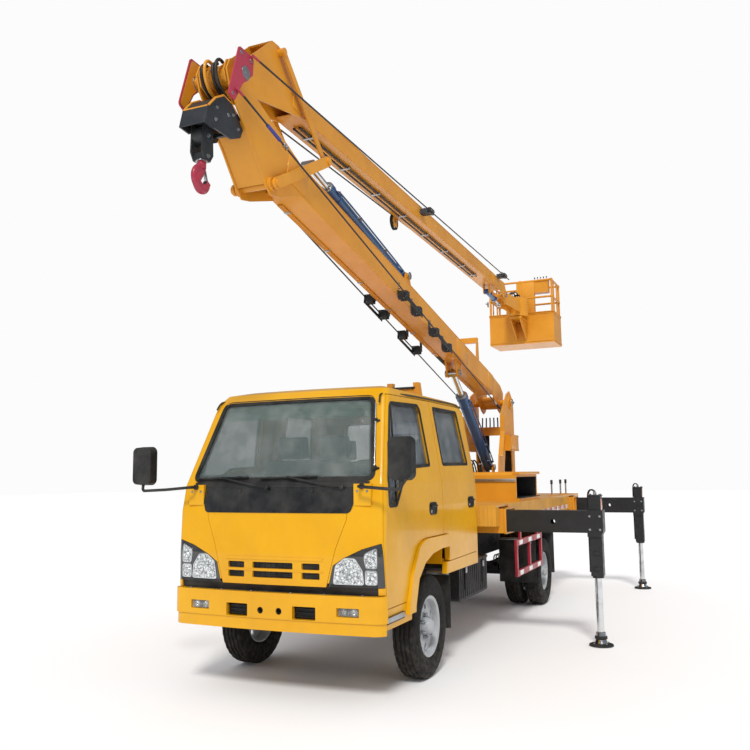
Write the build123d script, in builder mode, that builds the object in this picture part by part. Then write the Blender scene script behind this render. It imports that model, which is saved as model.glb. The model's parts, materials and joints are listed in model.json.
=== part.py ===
from build123d import *
import os
from math import atan2, cos, degrees, hypot, radians, sin, sqrt, tan

# Cherry picker truck: a cab-over double-cab truck with a slewing turret, a folding two-piece
# boom, a work basket and four outriggers.
# Millimetres, +X forward, +Y to the truck's left, +Z up. The floor is Z = 0 and the origin is
# under the middle of the whole machine.

os.makedirs("parts", exist_ok=True)

# ---- where things stand along the truck ----
FRONT_AXLE_X = 2872
FX = FRONT_AXLE_X
WHEELBASE = 3815
REAR_AXLE_X = FRONT_AXLE_X - WHEELBASE
TURRET_X = FRONT_AXLE_X - 4790
FRONT_OUTRIGGER_X = FRONT_AXLE_X - 1620
REAR_OUTRIGGER_X = FRONT_AXLE_X - 5500
CRADLE_X = FRONT_AXLE_X - 1650

# ---- wheels ----
TYRE_R = 387.5
TYRE_W = 190
RIM_R = 222
FRONT_TRACK = 1500
REAR_TRACK = 1460
DUAL_PITCH = 240

# ---- chassis ----
RAIL_OUT_Y = 360
RAIL_FLANGE = 65
RAIL_H = 180
RAIL_T = 8
RAIL_Z = 620
SUBFRAME_TOP = 985
FRAME_FRONT_X = FRONT_AXLE_X + 840
FRAME_REAR_X = FRONT_AXLE_X - 5880

# ---- cab ----
CAB_HALF = 850
CAB_FLOOR_Z = 815
CAB_FLOOR_T = 40
CAB_BOW = 40
CAB_CORNER_R = 50
CAB_REAR_R = 40
WALL = 45
DOOR_GAP = 6
B_SEAM_X = FRONT_AXLE_X - 320

# ---- deck ----
DECK_HALF = 1000
DECK_TOP = 1255
DECK_T = 15
DECK_SKIRT_Z = 1060
DECK_FRONT_X = FRONT_AXLE_X - 1400
DECK_REAR_X = FRONT_AXLE_X - 5980

# ---- outriggers ----
BEAM_H = 200
BEAM_W = 150
BEAM_WALL = 8
BEAM_MID_Z = 1105
BEAM_CLEAR = 6
HOUSING_WALL = 8
HOUSING_HALF = 1065
BEAM_IN_Y = 240
LEG_Y = 1880
SLEEVE_W = 110
SLEEVE_BOTTOM_Z = 620
SLEEVE_TOP_Z = 1335
ROD_R = 32
PAD_R = 105

# ---- turret ----
RING_R = 330
RING_BOTTOM_Z = SUBFRAME_TOP
RING_TOP_Z = 1330
TURRET_BASE_Z = 1336
TURRET_BASE_T = 40
CHEEK_Y = 262
CHEEK_T = 16
LUFF_X = FRONT_AXLE_X - 5050
LUFF_Z = 2540
PIN_R = 30

# ---- booms: pins and section lines (z at the front axle, rise per mm forward) ----
ELBOW_X = FRONT_AXLE_X + 1687
ELBOW_Z = 4255
LOWER_W = 251
LOWER_H = 257
LOWER_BOTTOM_AT_AXLE = 3543
LOWER_SLOPE = 0.193
UPPER_W = 208
UPPER_H = 165
UPPER_BOTTOM_AT_AXLE = 4345
UPPER_SLOPE = 0.021
BOOM_WALL = 8
UPPER_TIP_X = FRONT_AXLE_X - 5330

# ---- basket ----
LEVEL_X = FRONT_AXLE_X - 5640
LEVEL_Z = 4215
SWING_X = FRONT_AXLE_X - 6830
BASKET_FRONT_X = FRONT_AXLE_X - 7080
BASKET_DEPTH = 640
BASKET_HALF = 540
BASKET_FLOOR_Z = 3690
BASKET_SHEET_TOP = 4200
BASKET_RAIL_TOP = 4760


def save(piece, name):
    piece.part.label = name
    export_step(piece.part, f"parts/{name}.step")


def save_solids(pieces, name):
    """Saves weldments that only touch, each as a solid of its own, in one file."""
    together = Compound([solid for piece in pieces for solid in piece.part.solids()])
    together.label = name
    export_step(together, f"parts/{name}.step")


def side_plate(points, y_from, y_to):
    """A plate with its outline in the XZ plane, between two Y values."""
    with BuildPart() as plate:
        with BuildSketch(Plane.XZ.offset(-y_from)):
            Polygon(*points, align=None)
        extrude(amount=-(y_to - y_from))
    return plate.part


def bar(x, y, z, size_x, size_y, size_z):
    """A block centred on a point."""
    with BuildPart() as block:
        with Locations((x, y, z)):
            Box(size_x, size_y, size_z)
    return block.part


def pin(x, z, y_from, y_to, radius):
    """A round pin along Y."""
    with BuildPart() as rod:
        with BuildSketch(Plane.XZ.offset(-y_from)):
            with Locations((x, z)):
                Circle(radius)
        extrude(amount=-(y_to - y_from))
    return rod.part


def lower_line(x, up=0):
    """Height of the lower boom's underside, or of a line that far above it, at x."""
    return LOWER_BOTTOM_AT_AXLE + LOWER_SLOPE * (x - FRONT_AXLE_X) + up


def upper_line(x, up=0):
    """Height of the upper boom's underside, or of a line that far above it, at x."""
    return UPPER_BOTTOM_AT_AXLE + UPPER_SLOPE * (x - FRONT_AXLE_X) + up


# ================= chassis =================
with BuildPart() as chassis_frame:
    frame_mid = (FRAME_FRONT_X + FRAME_REAR_X) / 2
    frame_len = FRAME_FRONT_X - FRAME_REAR_X
    for side in (-1, 1):
        with Locations((frame_mid, side * (RAIL_OUT_Y - RAIL_FLANGE / 2), RAIL_Z + RAIL_H / 2)):
            Box(frame_len, RAIL_FLANGE, RAIL_H)
        with Locations((frame_mid, side * (RAIL_OUT_Y - RAIL_FLANGE / 2 - RAIL_T), RAIL_Z + RAIL_H / 2)):
            Box(frame_len, RAIL_FLANGE, RAIL_H - 2 * RAIL_T, mode=Mode.SUBTRACT)
    # cross members between the two channels
    for x in (FRAME_FRONT_X - 60, FX - 1350, FX - 2500, REAR_AXLE_X + 720, REAR_AXLE_X - 720,
              FRAME_REAR_X + 40):
        with Locations((x, 0, RAIL_Z + RAIL_H / 2)):
            Box(60, 2 * (RAIL_OUT_Y - RAIL_T), 110)
save(chassis_frame, "chassis_frame")

# subframe on the rails: it carries the outriggers, the turret and the deck
SUBFRAME_FRONT_X = FRONT_OUTRIGGER_X + 200
with BuildPart() as subframe:
    sub_z = (RAIL_Z + RAIL_H + SUBFRAME_TOP) / 2
    sub_h = SUBFRAME_TOP - RAIL_Z - RAIL_H
    for side in (-1, 1):
        with Locations(((SUBFRAME_FRONT_X + FRAME_REAR_X) / 2, side * (RAIL_OUT_Y - 40), sub_z)):
            Box(SUBFRAME_FRONT_X - FRAME_REAR_X, 80, sub_h)
    for x in (SUBFRAME_FRONT_X - 60, FX - 2900, TURRET_X + 340, TURRET_X, TURRET_X - 340, FRAME_REAR_X + 60):
        with Locations((x, 0, sub_z)):
            Box(80, 2 * RAIL_OUT_Y - 80, sub_h)
save(subframe, "subframe")

with BuildPart() as engine_block:
    with Locations((FX + 60, 0, 592)):
        Box(760, 480, 350)
    with Locations((FX - 560, 0, 580)):
        Box(480, 300, 260)
    # propeller shaft back to the axle
    with Locations(Location((FX - 2150, 0, 500), (0, 88.1, 0))):
        Cylinder(45, 2780)
save(engine_block, "engine_block")

# ---- axles ----
KINGPIN_Y = FRONT_TRACK / 2 - 190
SPRING_Y = RAIL_OUT_Y - RAIL_FLANGE / 2
SPRING_W = 65


def leaf_springs(axle_x, half, seat_z, end_z, leaves, leaf_t):
    """A cambered pack of leaves each side, the longest on top, with a shackle up to the rail at each end."""
    with BuildPart() as pack:
        for leaf in range(leaves):
            reach = half * (1 - 0.19 * leaf)
            low = seat_z - leaf_t * leaf
            tip = low + (end_z - seat_z) * (reach / half) ** 2
            with BuildSketch(Plane.XZ.offset(SPRING_W / 2 - SPRING_Y)):
                with BuildLine():
                    ThreePointArc((axle_x - reach, tip), (axle_x, low), (axle_x + reach, tip))
                    Line((axle_x + reach, tip), (axle_x + reach, tip - leaf_t))
                    ThreePointArc((axle_x + reach, tip - leaf_t), (axle_x, low - leaf_t),
                                  (axle_x - reach, tip - leaf_t))
                    Line((axle_x - reach, tip - leaf_t), (axle_x - reach, tip))
                make_face()
            extrude(amount=-SPRING_W)
        for end in (-1, 1):
            with Locations((axle_x + end * (half - 22), SPRING_Y, (end_z - 24 + RAIL_Z) / 2)):
                Box(44, 50, RAIL_Z - end_z + 24)
        mirror(about=Plane.XZ)
    return pack.part


with BuildPart() as front_axle:
    with BuildSketch(Plane.XZ.offset(KINGPIN_Y - 90)):
        with Locations((FX, TYRE_R - 22)):
            Rectangle(84, 78)
            Rectangle(62, 44, mode=Mode.SUBTRACT)
            Rectangle(20, 50)
    extrude(amount=-2 * (KINGPIN_Y - 90))
    add(leaf_springs(FX, 570, TYRE_R + 62, TYRE_R + 150, 4, 13))
    for side in (-1, 1):
        with Locations((FX, side * (KINGPIN_Y - 66), TYRE_R - 4)):
            Box(84, 70, 60)
        with Locations((FX, side * KINGPIN_Y, TYRE_R)):
            Cylinder(35, 70)
        with Locations((FX, side * SPRING_Y, TYRE_R + 18)):
            Box(110, SPRING_W + 20, 60)
save(front_axle, "front_axle")

with BuildPart() as rear_axle:
    with BuildSketch(Plane.XZ.offset(REAR_TRACK / 2 - 260)):
        with Locations((REAR_AXLE_X, TYRE_R)):
            Circle(58)
    extrude(amount=-(REAR_TRACK - 520))
    # differential housing with its banjo cover
    with BuildSketch(Plane.YZ.offset(REAR_AXLE_X)):
        with BuildLine():
            Polyline((-40, TYRE_R + 165), (40, TYRE_R + 165), (110, TYRE_R + 110), (150, TYRE_R + 40),
                     (150, TYRE_R), (-150, TYRE_R), (-150, TYRE_R + 40), (-110, TYRE_R + 110), close=True)
        make_face()
    revolve(axis=Axis((REAR_AXLE_X, 0, TYRE_R), (0, 1, 0)))
    add(leaf_springs(REAR_AXLE_X, 640, TYRE_R + 110, TYRE_R + 175, 6, 14))
    for side in (-1, 1):
        with Locations((REAR_AXLE_X, side * SPRING_Y, TYRE_R + 42)):
            Box(130, SPRING_W + 20, 80)
save(rear_axle, "rear_axle")


# ---- wheels ----
def tyre(x, middles):
    """Tyres on one hub: the same rounded section turned at each middle Y."""
    half = TYRE_W / 2
    with BuildPart() as piece:
        for y in middles:
            with BuildSketch(Plane.YZ.offset(x)):
                with BuildLine():
                    Polyline((y - half * 0.72, RIM_R + TYRE_R), (y + half * 0.72, RIM_R + TYRE_R),
                             (y + half, RIM_R + 70 + TYRE_R), (y + half * 0.93, TYRE_R * 2 - 26),
                             (y + half * 0.68, TYRE_R * 2), (y - half * 0.68, TYRE_R * 2),
                             (y - half * 0.93, TYRE_R * 2 - 26), (y - half, RIM_R + 70 + TYRE_R), close=True)
                make_face()
            revolve(axis=Axis((x, 0, TYRE_R), (0, 1, 0)))
    return piece


HAND_HOLES = 6
HAND_HOLE_R = 24
HAND_HOLE_PITCH_R = 150


def rim(x, middle_y, side):
    """A pressed disc wheel: the band, the dished disc with its hand holes, and the hub."""
    band = TYRE_W * 0.36
    disc = middle_y + side * (band - 42)
    with BuildPart() as piece:
        with BuildSketch(Plane.YZ.offset(x)):
            with BuildLine():
                Polyline((middle_y - side * band, TYRE_R + RIM_R - 1),
                         (middle_y + side * band, TYRE_R + RIM_R - 1),
                         (middle_y + side * (band + 6), TYRE_R + RIM_R + 10),
                         (middle_y + side * (band + 12), TYRE_R + RIM_R + 6),
                         (middle_y + side * (band + 4), TYRE_R + RIM_R - 16),
                         (disc + side * 6, TYRE_R + RIM_R - 24),
                         (disc + side * 16, TYRE_R + 128), (disc + side * 2, TYRE_R + 96),
                         (disc + side * 2, TYRE_R + 70), (disc + side * 42, TYRE_R + 62),
                         (disc + side * 48, TYRE_R), (disc - side * 30, TYRE_R),
                         (disc - side * 30, TYRE_R + 60),
                         (disc - side * 10, TYRE_R + 100), (disc, TYRE_R + 128),
                         (disc - side * 8, TYRE_R + RIM_R - 26),
                         (middle_y - side * band, TYRE_R + RIM_R - 15), close=True)
            make_face()
        revolve(axis=Axis((x, 0, TYRE_R), (0, 1, 0)))
        with BuildSketch(Plane.XZ.offset(-(disc - side * 60))):
            with Locations((x, TYRE_R)):
                with PolarLocations(HAND_HOLE_PITCH_R, HAND_HOLES, start_angle=30):
                    Circle(HAND_HOLE_R)
        extrude(amount=-side * 130, mode=Mode.SUBTRACT)
    return piece


for name, side in (("left", 1), ("right", -1)):
    front_y = side * FRONT_TRACK / 2
    rear_y = side * REAR_TRACK / 2
    save(tyre(FX, (front_y,)), f"front_tyre_{name}")
    with BuildPart() as front_rim:
        add(rim(FX, front_y, side).part)
        bore = sorted((front_y - side * 100, front_y + side * 20))
        add(pin(FX, TYRE_R, *sorted((front_y - side * 20, front_y + side * 30)), 60))
        add(pin(FX, TYRE_R, *bore, 28.1), mode=Mode.SUBTRACT)
    save(front_rim, f"front_rim_{name}")
    save(tyre(REAR_AXLE_X, (rear_y - DUAL_PITCH / 2, rear_y + DUAL_PITCH / 2)), f"rear_tyres_{name}")
    with BuildPart() as rear_rims:
        # the outer disc is dished in and the inner one out, so that they meet on the hub
        add(rim(REAR_AXLE_X, rear_y + side * DUAL_PITCH / 2, -side).part)
        add(rim(REAR_AXLE_X, rear_y - side * DUAL_PITCH / 2, side).part)
        add(pin(REAR_AXLE_X, TYRE_R, *sorted((rear_y - side * 130, rear_y + side * 110)), 72))
    save(rear_rims, f"rear_rims_{name}")
    with BuildPart() as knuckle:
        for end in (-1, 1):
            with Locations((FX, side * KINGPIN_Y, TYRE_R + end * 51)):
                Cylinder(38, 30)
        with Locations((FX, side * (KINGPIN_Y + 44), TYRE_R)):
            Box(90, 16, 132)
        spindle = sorted((side * (KINGPIN_Y + 40), side * (FRONT_TRACK / 2 - 5)))
        add(pin(FX, TYRE_R, *spindle, 28))
    save(knuckle, f"knuckle_{name}")

# ================= cab =================
# Level sections of the skin: height, front at the middle, rear (both from the axle), half width.
CAB_SECTIONS = [(505, 955, -1300, 838), (760, 982, -1318, 850), (1000, 985, -1320, 850),
                (1300, 968, -1320, 850), (1490, 932, -1320, 842), (2130, 645, -1270, 745),
                (2205, 548, -1215, 712), (2240, 380, -1080, 600)]
ROOF_SECTION_Z = 2200


def cab_solid(shrink):
    """The cab as a full solid with every face moved in by the given wall, open below."""
    with BuildPart() as piece:
        for z, front, rear, half in CAB_SECTIONS:
            if z > ROOF_SECTION_Z:
                z -= shrink
            elif z == CAB_SECTIONS[0][0] and shrink:
                z -= 1
            tip, back, side = FX + front - shrink, FX + rear + shrink, half - shrink
            shoulder = tip - CAB_BOW
            nick = CAB_CORNER_R * (1 - sqrt(0.5))
            rear_nick = CAB_REAR_R * (1 - sqrt(0.5))
            with BuildSketch(Plane.XY.offset(z)):
                with BuildLine():
                    ThreePointArc((shoulder, -side + CAB_CORNER_R), (tip, 0), (shoulder, side - CAB_CORNER_R))
                    for half_y in (side, -side):
                        turn = 1 if half_y > 0 else -1
                        ThreePointArc((shoulder, half_y - turn * CAB_CORNER_R),
                                      (shoulder - nick, half_y - turn * nick),
                                      (shoulder - CAB_CORNER_R, half_y))
                        Line((shoulder - CAB_CORNER_R, half_y), (back + CAB_REAR_R, half_y))
                        ThreePointArc((back + CAB_REAR_R, half_y),
                                      (back + rear_nick, half_y - turn * rear_nick),
                                      (back, half_y - turn * CAB_REAR_R))
                    Line((back, side - CAB_REAR_R), (back, -side + CAB_REAR_R))
                make_face()
        loft(ruled=True)
    return piece.part


def front_prism(points, x_from, x_to):
    """An outline in the YZ plane, between two X values."""
    with BuildPart() as piece:
        with BuildSketch(Plane.YZ.offset(x_from)):
            Polygon(*points, align=None)
        extrude(amount=x_to - x_from)
    return piece.part


def rounded_prism(plane, points, radius, depth, grow=0):
    """An outline with rounded corners on a plane, grown or shrunk, pushed to a depth."""
    with BuildPart() as piece:
        with BuildSketch(plane):
            Polygon(*points, align=None)
            if grow:
                offset(amount=grow, mode=Mode.REPLACE, kind=Kind.INTERSECTION)
            if radius:
                fillet(vertices(), radius)
        extrude(amount=depth)
    return piece.part


def both_sides(solid):
    """The given solid of the left side, and its mirror image on the right."""
    with BuildPart() as pair:
        add(solid)
        mirror(solid, about=Plane.XZ)
    return pair.part


SIDE_PLANE = Plane.XZ.offset(-600)
SIDE_DEPTH = -400
SIDE_SLAB = [(803, 400), (803, 1300), (795, 1490), (697, 2130), (664, 2186), (780, 2186), (900, 1490),
             (900, 400)]
# the doorway reaches a little further in than the door, whose front edge dips inward as it swings
DOORWAY_SLAB = [(794, 400), (794, 1300), (786, 1490), (688, 2130), (655, 2186), (780, 2186), (900, 1490),
                (900, 400)]
PILLAR_SLAB = [(735, 840), (735, 1300), (727, 1490), (632, 2130), (560, 2215), (625, 2215), (652, 2186),
               (685, 2130), (777, 1490), (785, 1300), (785, 840)]

FRONT_DOOR = [(898, 645), (922, 1080), (912, 1300), (880, 1490), (594, 2122), (566, 2150), (-317, 2165),
              (-317, 645)]
REAR_DOOR = [(-323, 835), (-323, 2165), (-1150, 2170), (-1215, 2120), (-1262, 1640), (-1262, 1000),
             (-1235, 845)]
FRONT_WINDOW = [(832, 1335), (826, 1520), (590, 2055), (556, 2088), (-20, 2108), (-60, 2078), (-95, 1625),
                (270, 1610), (560, 1480), (690, 1335)]
REAR_WINDOW = [(-415, 1632), (-388, 2114), (-1036, 2118), (-1125, 1640)]
ARCH = [(412, 400), (405, 600), (330, 785), (190, 888), (20, 940), (-200, 962), (-425, 962), (-385, 740),
        (-385, 400)]
FLARE_EDGE = [(535, 560), (520, 640), (445, 835), (300, 1012), (200, 1050), (100, 1062), (-400, 1062),
              (-462, 1012)]
FLARE = FLARE_EDGE + [(-425, 962), (-200, 962), (20, 940), (190, 888), (330, 785), (405, 600), (408, 560)]
FLARE_ZONE = FLARE_EDGE + [(-462, 400), (535, 400)]


def from_axle(points):
    """Side-view points given from the front axle."""
    return [(FX + x, z) for x, z in points]


cab_outer = cab_solid(0)
cab_inner = cab_solid(WALL)
cab_walls = cab_outer - cab_inner
side_slab = front_prism(SIDE_SLAB, FX - 1400, FX + 1000)
doorway_slab = front_prism(DOORWAY_SLAB, FX - 1400, FX + 1000)
arch_hole = rounded_prism(Plane.XZ.offset(1000), from_axle(ARCH), 0, -2000)
flare_room = rounded_prism(SIDE_PLANE, from_axle(FLARE_ZONE), 0, SIDE_DEPTH, grow=DOOR_GAP)

DOORS = (("front", FRONT_DOOR, FRONT_WINDOW), ("rear", REAR_DOOR, REAR_WINDOW))
for place, outline, window in DOORS:
    door = cab_walls & rounded_prism(SIDE_PLANE, from_axle(outline), 0, SIDE_DEPTH, grow=-DOOR_GAP / 2)
    door = door & side_slab
    door = door - rounded_prism(SIDE_PLANE, from_axle(window), 22, SIDE_DEPTH) - flare_room
    for name, side in (("left", 1), ("right", -1)):
        with BuildPart() as panel:
            if side > 0:
                add(door)
            else:
                mirror(door, about=Plane.XZ)
        save(panel, f"{place}_door_{name}")

WINDSCREEN = [(-755, 1525), (755, 1525), (648, 2135), (-648, 2135)]
REAR_GLASS = [(-520, 1620), (520, 1620), (480, 2060), (-480, 2060)]
FRONT_PANEL = [(-590, 1492), (590, 1492), (575, 1250), (500, 1060), (425, 785),
               (-425, 785), (-500, 1060), (-575, 1250)]
PANEL_T = 22
LAMP = [(440, 790), (475, 935), (560, 990), (690, 1050), (900, 1112), (900, 790)]
LAMP_DEPTH = 38
LAMP_SIDE = [(912, 780), (932, 1120), (1100, 1120), (1100, 780)]
COVER_Y = 690
BUMPER_Z = (478, 738)
GRILLE_ROWS = ((835, 880), (900, 945))
GRILLE_SLOTS = ((-375, -235), (-165, 165), (235, 375))

lamp_zone = rounded_prism(Plane.XZ.offset(-300), from_axle(LAMP_SIDE), 0, -600)

with BuildPart() as cab_shell:
    add(cab_walls)
    # floor, its kick-up over each front wheel, and the posts behind the seam between the doors
    with Locations((FX - 190, 0, CAB_FLOOR_Z + CAB_FLOOR_T / 2)):
        Box(2200, 2 * (CAB_HALF - WALL) + 20, CAB_FLOOR_T)
    wheelhouse = rounded_prism(Plane.XZ.offset(-600), from_axle(ARCH), 0, -212, grow=12)
    wheelhouse = wheelhouse - bar(FX, 700, 560, 1200, 400, 470)
    add(both_sides(wheelhouse))
    post = front_prism(PILLAR_SLAB, B_SEAM_X - 50, B_SEAM_X + 50) & cab_solid(WALL - 4)
    add(both_sides(post))
    # open underneath: wheels, chassis and bumper
    wheel_room = rounded_prism(Plane.XZ.offset(-612), from_axle(ARCH), 0, -400)
    add(both_sides(wheel_room), mode=Mode.SUBTRACT)
    with Locations((FX - 200, 0, CAB_FLOOR_Z - 200)):
        Box(2800, 2 * (CAB_HALF - WALL), 400, mode=Mode.SUBTRACT)
    with Locations((FX - 900, 0, 740 - 150)):
        Box(1030, 2000, 300, mode=Mode.SUBTRACT)
    with Locations((FX + 980, 0, 400)):
        Box(200, 2 * (CAB_HALF - WALL), 2 * (CAB_FLOOR_Z - 430), mode=Mode.SUBTRACT)
    # proud lip round the wheel opening
    lip = rounded_prism(Plane.XZ.offset(-(CAB_HALF - 30)), from_axle(FLARE), 0, -55)
    add(both_sides(lip))
    # covers at the windscreen's lower corners, which carry the mirror arms
    for side in (-1, 1):
        add(bar(FX + 905, side * COVER_Y, 1420, 70, 130, 150) - cab_solid(WALL - 1))
    # the corners stop above the bumper
    add(bar(FX + 1000, 0, BUMPER_Z[1] + 7 - 200, 180, 2000, 400), mode=Mode.SUBTRACT)
    # doorways
    for outline in (FRONT_DOOR, REAR_DOOR):
        opening = rounded_prism(SIDE_PLANE, from_axle(outline), 0, SIDE_DEPTH,
                                grow=DOOR_GAP / 2) & doorway_slab
        opening = opening - rounded_prism(SIDE_PLANE, from_axle(FLARE), 0, SIDE_DEPTH)
        opening = opening - arch_hole
        add(both_sides(opening), mode=Mode.SUBTRACT)
    # windscreen and rear window openings
    add(rounded_prism(Plane.YZ.offset(FX + 1100), WINDSCREEN, 60, -760), mode=Mode.SUBTRACT)
    add(rounded_prism(Plane.YZ.offset(FX - 1200), REAR_GLASS, 50, -300), mode=Mode.SUBTRACT)
    # rebates for the front panel and the headlamps
    panel_cut = rounded_prism(Plane.YZ.offset(FX + 800), FRONT_PANEL, 0, 300)
    add(panel_cut & (cab_outer - cab_solid(PANEL_T)), mode=Mode.SUBTRACT)
    lamp_cut = rounded_prism(Plane.YZ.offset(FX + 800), LAMP, 0, 300)
    lamp_cut = lamp_cut & (cab_outer - cab_solid(LAMP_DEPTH)) & lamp_zone
    add(both_sides(lamp_cut), mode=Mode.SUBTRACT)
save(cab_shell, "cab_shell")

GLASS_INSET = 9
GLASS_T = 6
glass_sheet = cab_solid(GLASS_INSET) - cab_solid(GLASS_INSET + GLASS_T)
with BuildPart() as windscreen:
    add(glass_sheet & rounded_prism(Plane.YZ.offset(FX + 1100), WINDSCREEN, 60, -760))
    add(glass_sheet & rounded_prism(Plane.YZ.offset(FX - 1200), REAR_GLASS, 50, -300))
save(windscreen, "windscreen")

with BuildPart() as front_panel:
    add((cab_outer - cab_solid(PANEL_T)) & rounded_prism(Plane.YZ.offset(FX + 800), FRONT_PANEL, 0, 300,
                                                         grow=-3))
    for low, high in GRILLE_ROWS:
        for y_from, y_to in GRILLE_SLOTS:
            with BuildSketch(Plane.YZ.offset(FX + 800)):
                with Locations(((y_from + y_to) / 2, (low + high) / 2)):
                    RectangleRounded(y_to - y_from, high - low, 8)
            extrude(amount=300, mode=Mode.SUBTRACT)
save(front_panel, "front_panel")

with BuildPart() as headlamps:
    lamp = rounded_prism(Plane.YZ.offset(FX + 800), LAMP, 0, 300, grow=-3)
    lamp = lamp & (cab_outer - cab_solid(LAMP_DEPTH)) & lamp_zone
    add(both_sides(lamp))
save(headlamps, "headlamps")

# ---- inside the cab ----
FLOOR_TOP = CAB_FLOOR_Z + CAB_FLOOR_T
SEAT_BACK = [(-20, 1110), (-60, 1180), (-150, 1660), (-120, 1690), (-60, 1670), (30, 1220), (20, 1110)]
HEADREST = [(-150, 1660), (-190, 1740), (-190, 1850), (-150, 1880), (-90, 1860), (-80, 1740), (-100, 1670)]
DASH = [(660, 1230), (640, 1330), (665, 1420), (740, 1450), (800, 1440), (980, 1480), (980, 1130),
        (760, 1130)]
WHEEL_CENTRE = (FX + 545, 420, 1395)
WHEEL_TILT = 28


def seat(x, y, width, rests):
    """A seat on its box: cushion, raked back and head restraints, x at the back of the cushion."""
    with BuildPart() as piece:
        with Locations((x + 230, y, (FLOOR_TOP + 1010) / 2)):
            Box(420, width - 210, 1010 - FLOOR_TOP)
        with BuildSketch(Plane.XZ.offset(-(y - width / 2))):
            with Locations((x + 240, 1075)):
                RectangleRounded(520, 150, 45)
        extrude(amount=-width)
        add(side_plate([(x + px, pz) for px, pz in SEAT_BACK], y - width / 2 + 12, y + width / 2 - 12))
        for offset_y in rests:
            add(side_plate([(x + px, pz) for px, pz in HEADREST], y + offset_y - 130, y + offset_y + 130))
    return piece.part


with BuildPart() as cab_interior:
    add(seat(FX - 30, 430, 520, (0,)))
    add(seat(FX - 30, -270, 860, (-200, 200)))
    add(seat(FX - 1000, 0, 1400, (-460, 0, 460)))
    add(side_plate(from_axle(DASH), -740, 740) & cab_inner)
    # steering wheel on its raked column
    column = Location(WHEEL_CENTRE, (0, -WHEEL_TILT, 0))
    with Locations(column * Location((0, 0, -190))):
        Cylinder(26, 380)
    with Locations(column):
        Cylinder(205, 24)
        Cylinder(183, 24, mode=Mode.SUBTRACT)
        Cylinder(55, 30)
        Box(30, 380, 14)
        with Locations((-95, 0, 0)):
            Box(190, 30, 14)
save(cab_interior, "cab_interior")

# ---- bumper ----
BUMPER_FRONT = 1022
BUMPER_HALF = 865
BUMPER_GROOVE_Z = 560
BUMPER_T = 42
BUMPER_END_X = 914
BUMPER_CORNER = 95


def bumper_plan(z_from, z_to, inset):
    """The bumper's bowed plan with rounded corners, as a full block between two heights."""
    tip, side = FX + BUMPER_FRONT - inset, BUMPER_HALF - inset
    shoulder = tip - 35
    nick = BUMPER_CORNER * (1 - sqrt(0.5))
    with BuildPart() as block:
        with BuildSketch(Plane.XY.offset(z_from)):
            with BuildLine():
                ThreePointArc((shoulder, -side + BUMPER_CORNER), (tip, 0), (shoulder, side - BUMPER_CORNER))
                for turn in (-1, 1):
                    ThreePointArc((shoulder, turn * (side - BUMPER_CORNER)),
                                  (shoulder - nick, turn * (side - nick)),
                                  (shoulder - BUMPER_CORNER, turn * side))
                    Line((shoulder - BUMPER_CORNER, turn * side), (FX + 800, turn * side))
                Line((FX + 800, -side), (FX + 800, side))
            make_face()
        extrude(amount=z_to - z_from)
    return block.part


with BuildPart() as front_bumper:
    add(bumper_plan(BUMPER_GROOVE_Z, BUMPER_Z[1], 0))
    add(bumper_plan(BUMPER_Z[0], BUMPER_GROOVE_Z, 8))
    add(bumper_plan(BUMPER_Z[0] - 1, BUMPER_Z[1] + 1, BUMPER_T), mode=Mode.SUBTRACT)
    add(bar(FX + BUMPER_END_X - 100, 0, 600, 200, 2000, 400), mode=Mode.SUBTRACT)
    with BuildSketch(Plane.YZ.offset(FX + 900)):
        for y_mid, z_mid, width, height in ((600, 628, 165, 60), (272, 610, 180, 90)):
            with Locations((y_mid, z_mid), (-y_mid, z_mid)):
                RectangleRounded(width, height, 8)
        with Locations((75, 615), (-75, 615)):
            Circle(24)
    extrude(amount=200, mode=Mode.SUBTRACT)
    for side in (-1, 1):
        with Locations(((FRAME_FRONT_X + FX + BUMPER_FRONT - 48) / 2, side * 400, 690)):
            Box(FX + BUMPER_FRONT - 48 - FRAME_FRONT_X, 40, 60)
        with Locations((FRAME_FRONT_X + 10, side * 370, 690)):
            Box(20, 100, 60)
save(front_bumper, "front_bumper")

# ---- mirrors: head centre, and the way its tube arm runs from the cab's corner ----
MIRROR_HEADS = ((995, 1665), (-1165, 1645))
with BuildPart() as mirrors:
    for head_y, head_z in MIRROR_HEADS:
        side = 1 if head_y > 0 else -1
        inner = side * COVER_Y
        with BuildLine() as arm:
            FilletPolyline((FX + 940, inner, 1478), (FX + 1015, inner, 1478), (FX + 1035, side * 900, 1462),
                           (FX + 985, head_y, 1452), (FX + 965, head_y, 1545), radius=28)
        with BuildSketch(Plane(origin=arm.line @ 0, z_dir=arm.line % 0)):
            Circle(11)
        sweep()
        with BuildSketch(Plane.YZ.offset(FX + 930)):
            with Locations((head_y, head_z)):
                RectangleRounded(186, 300, 48)
        extrude(amount=70, taper=6)
save(mirrors, "mirrors")

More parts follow.
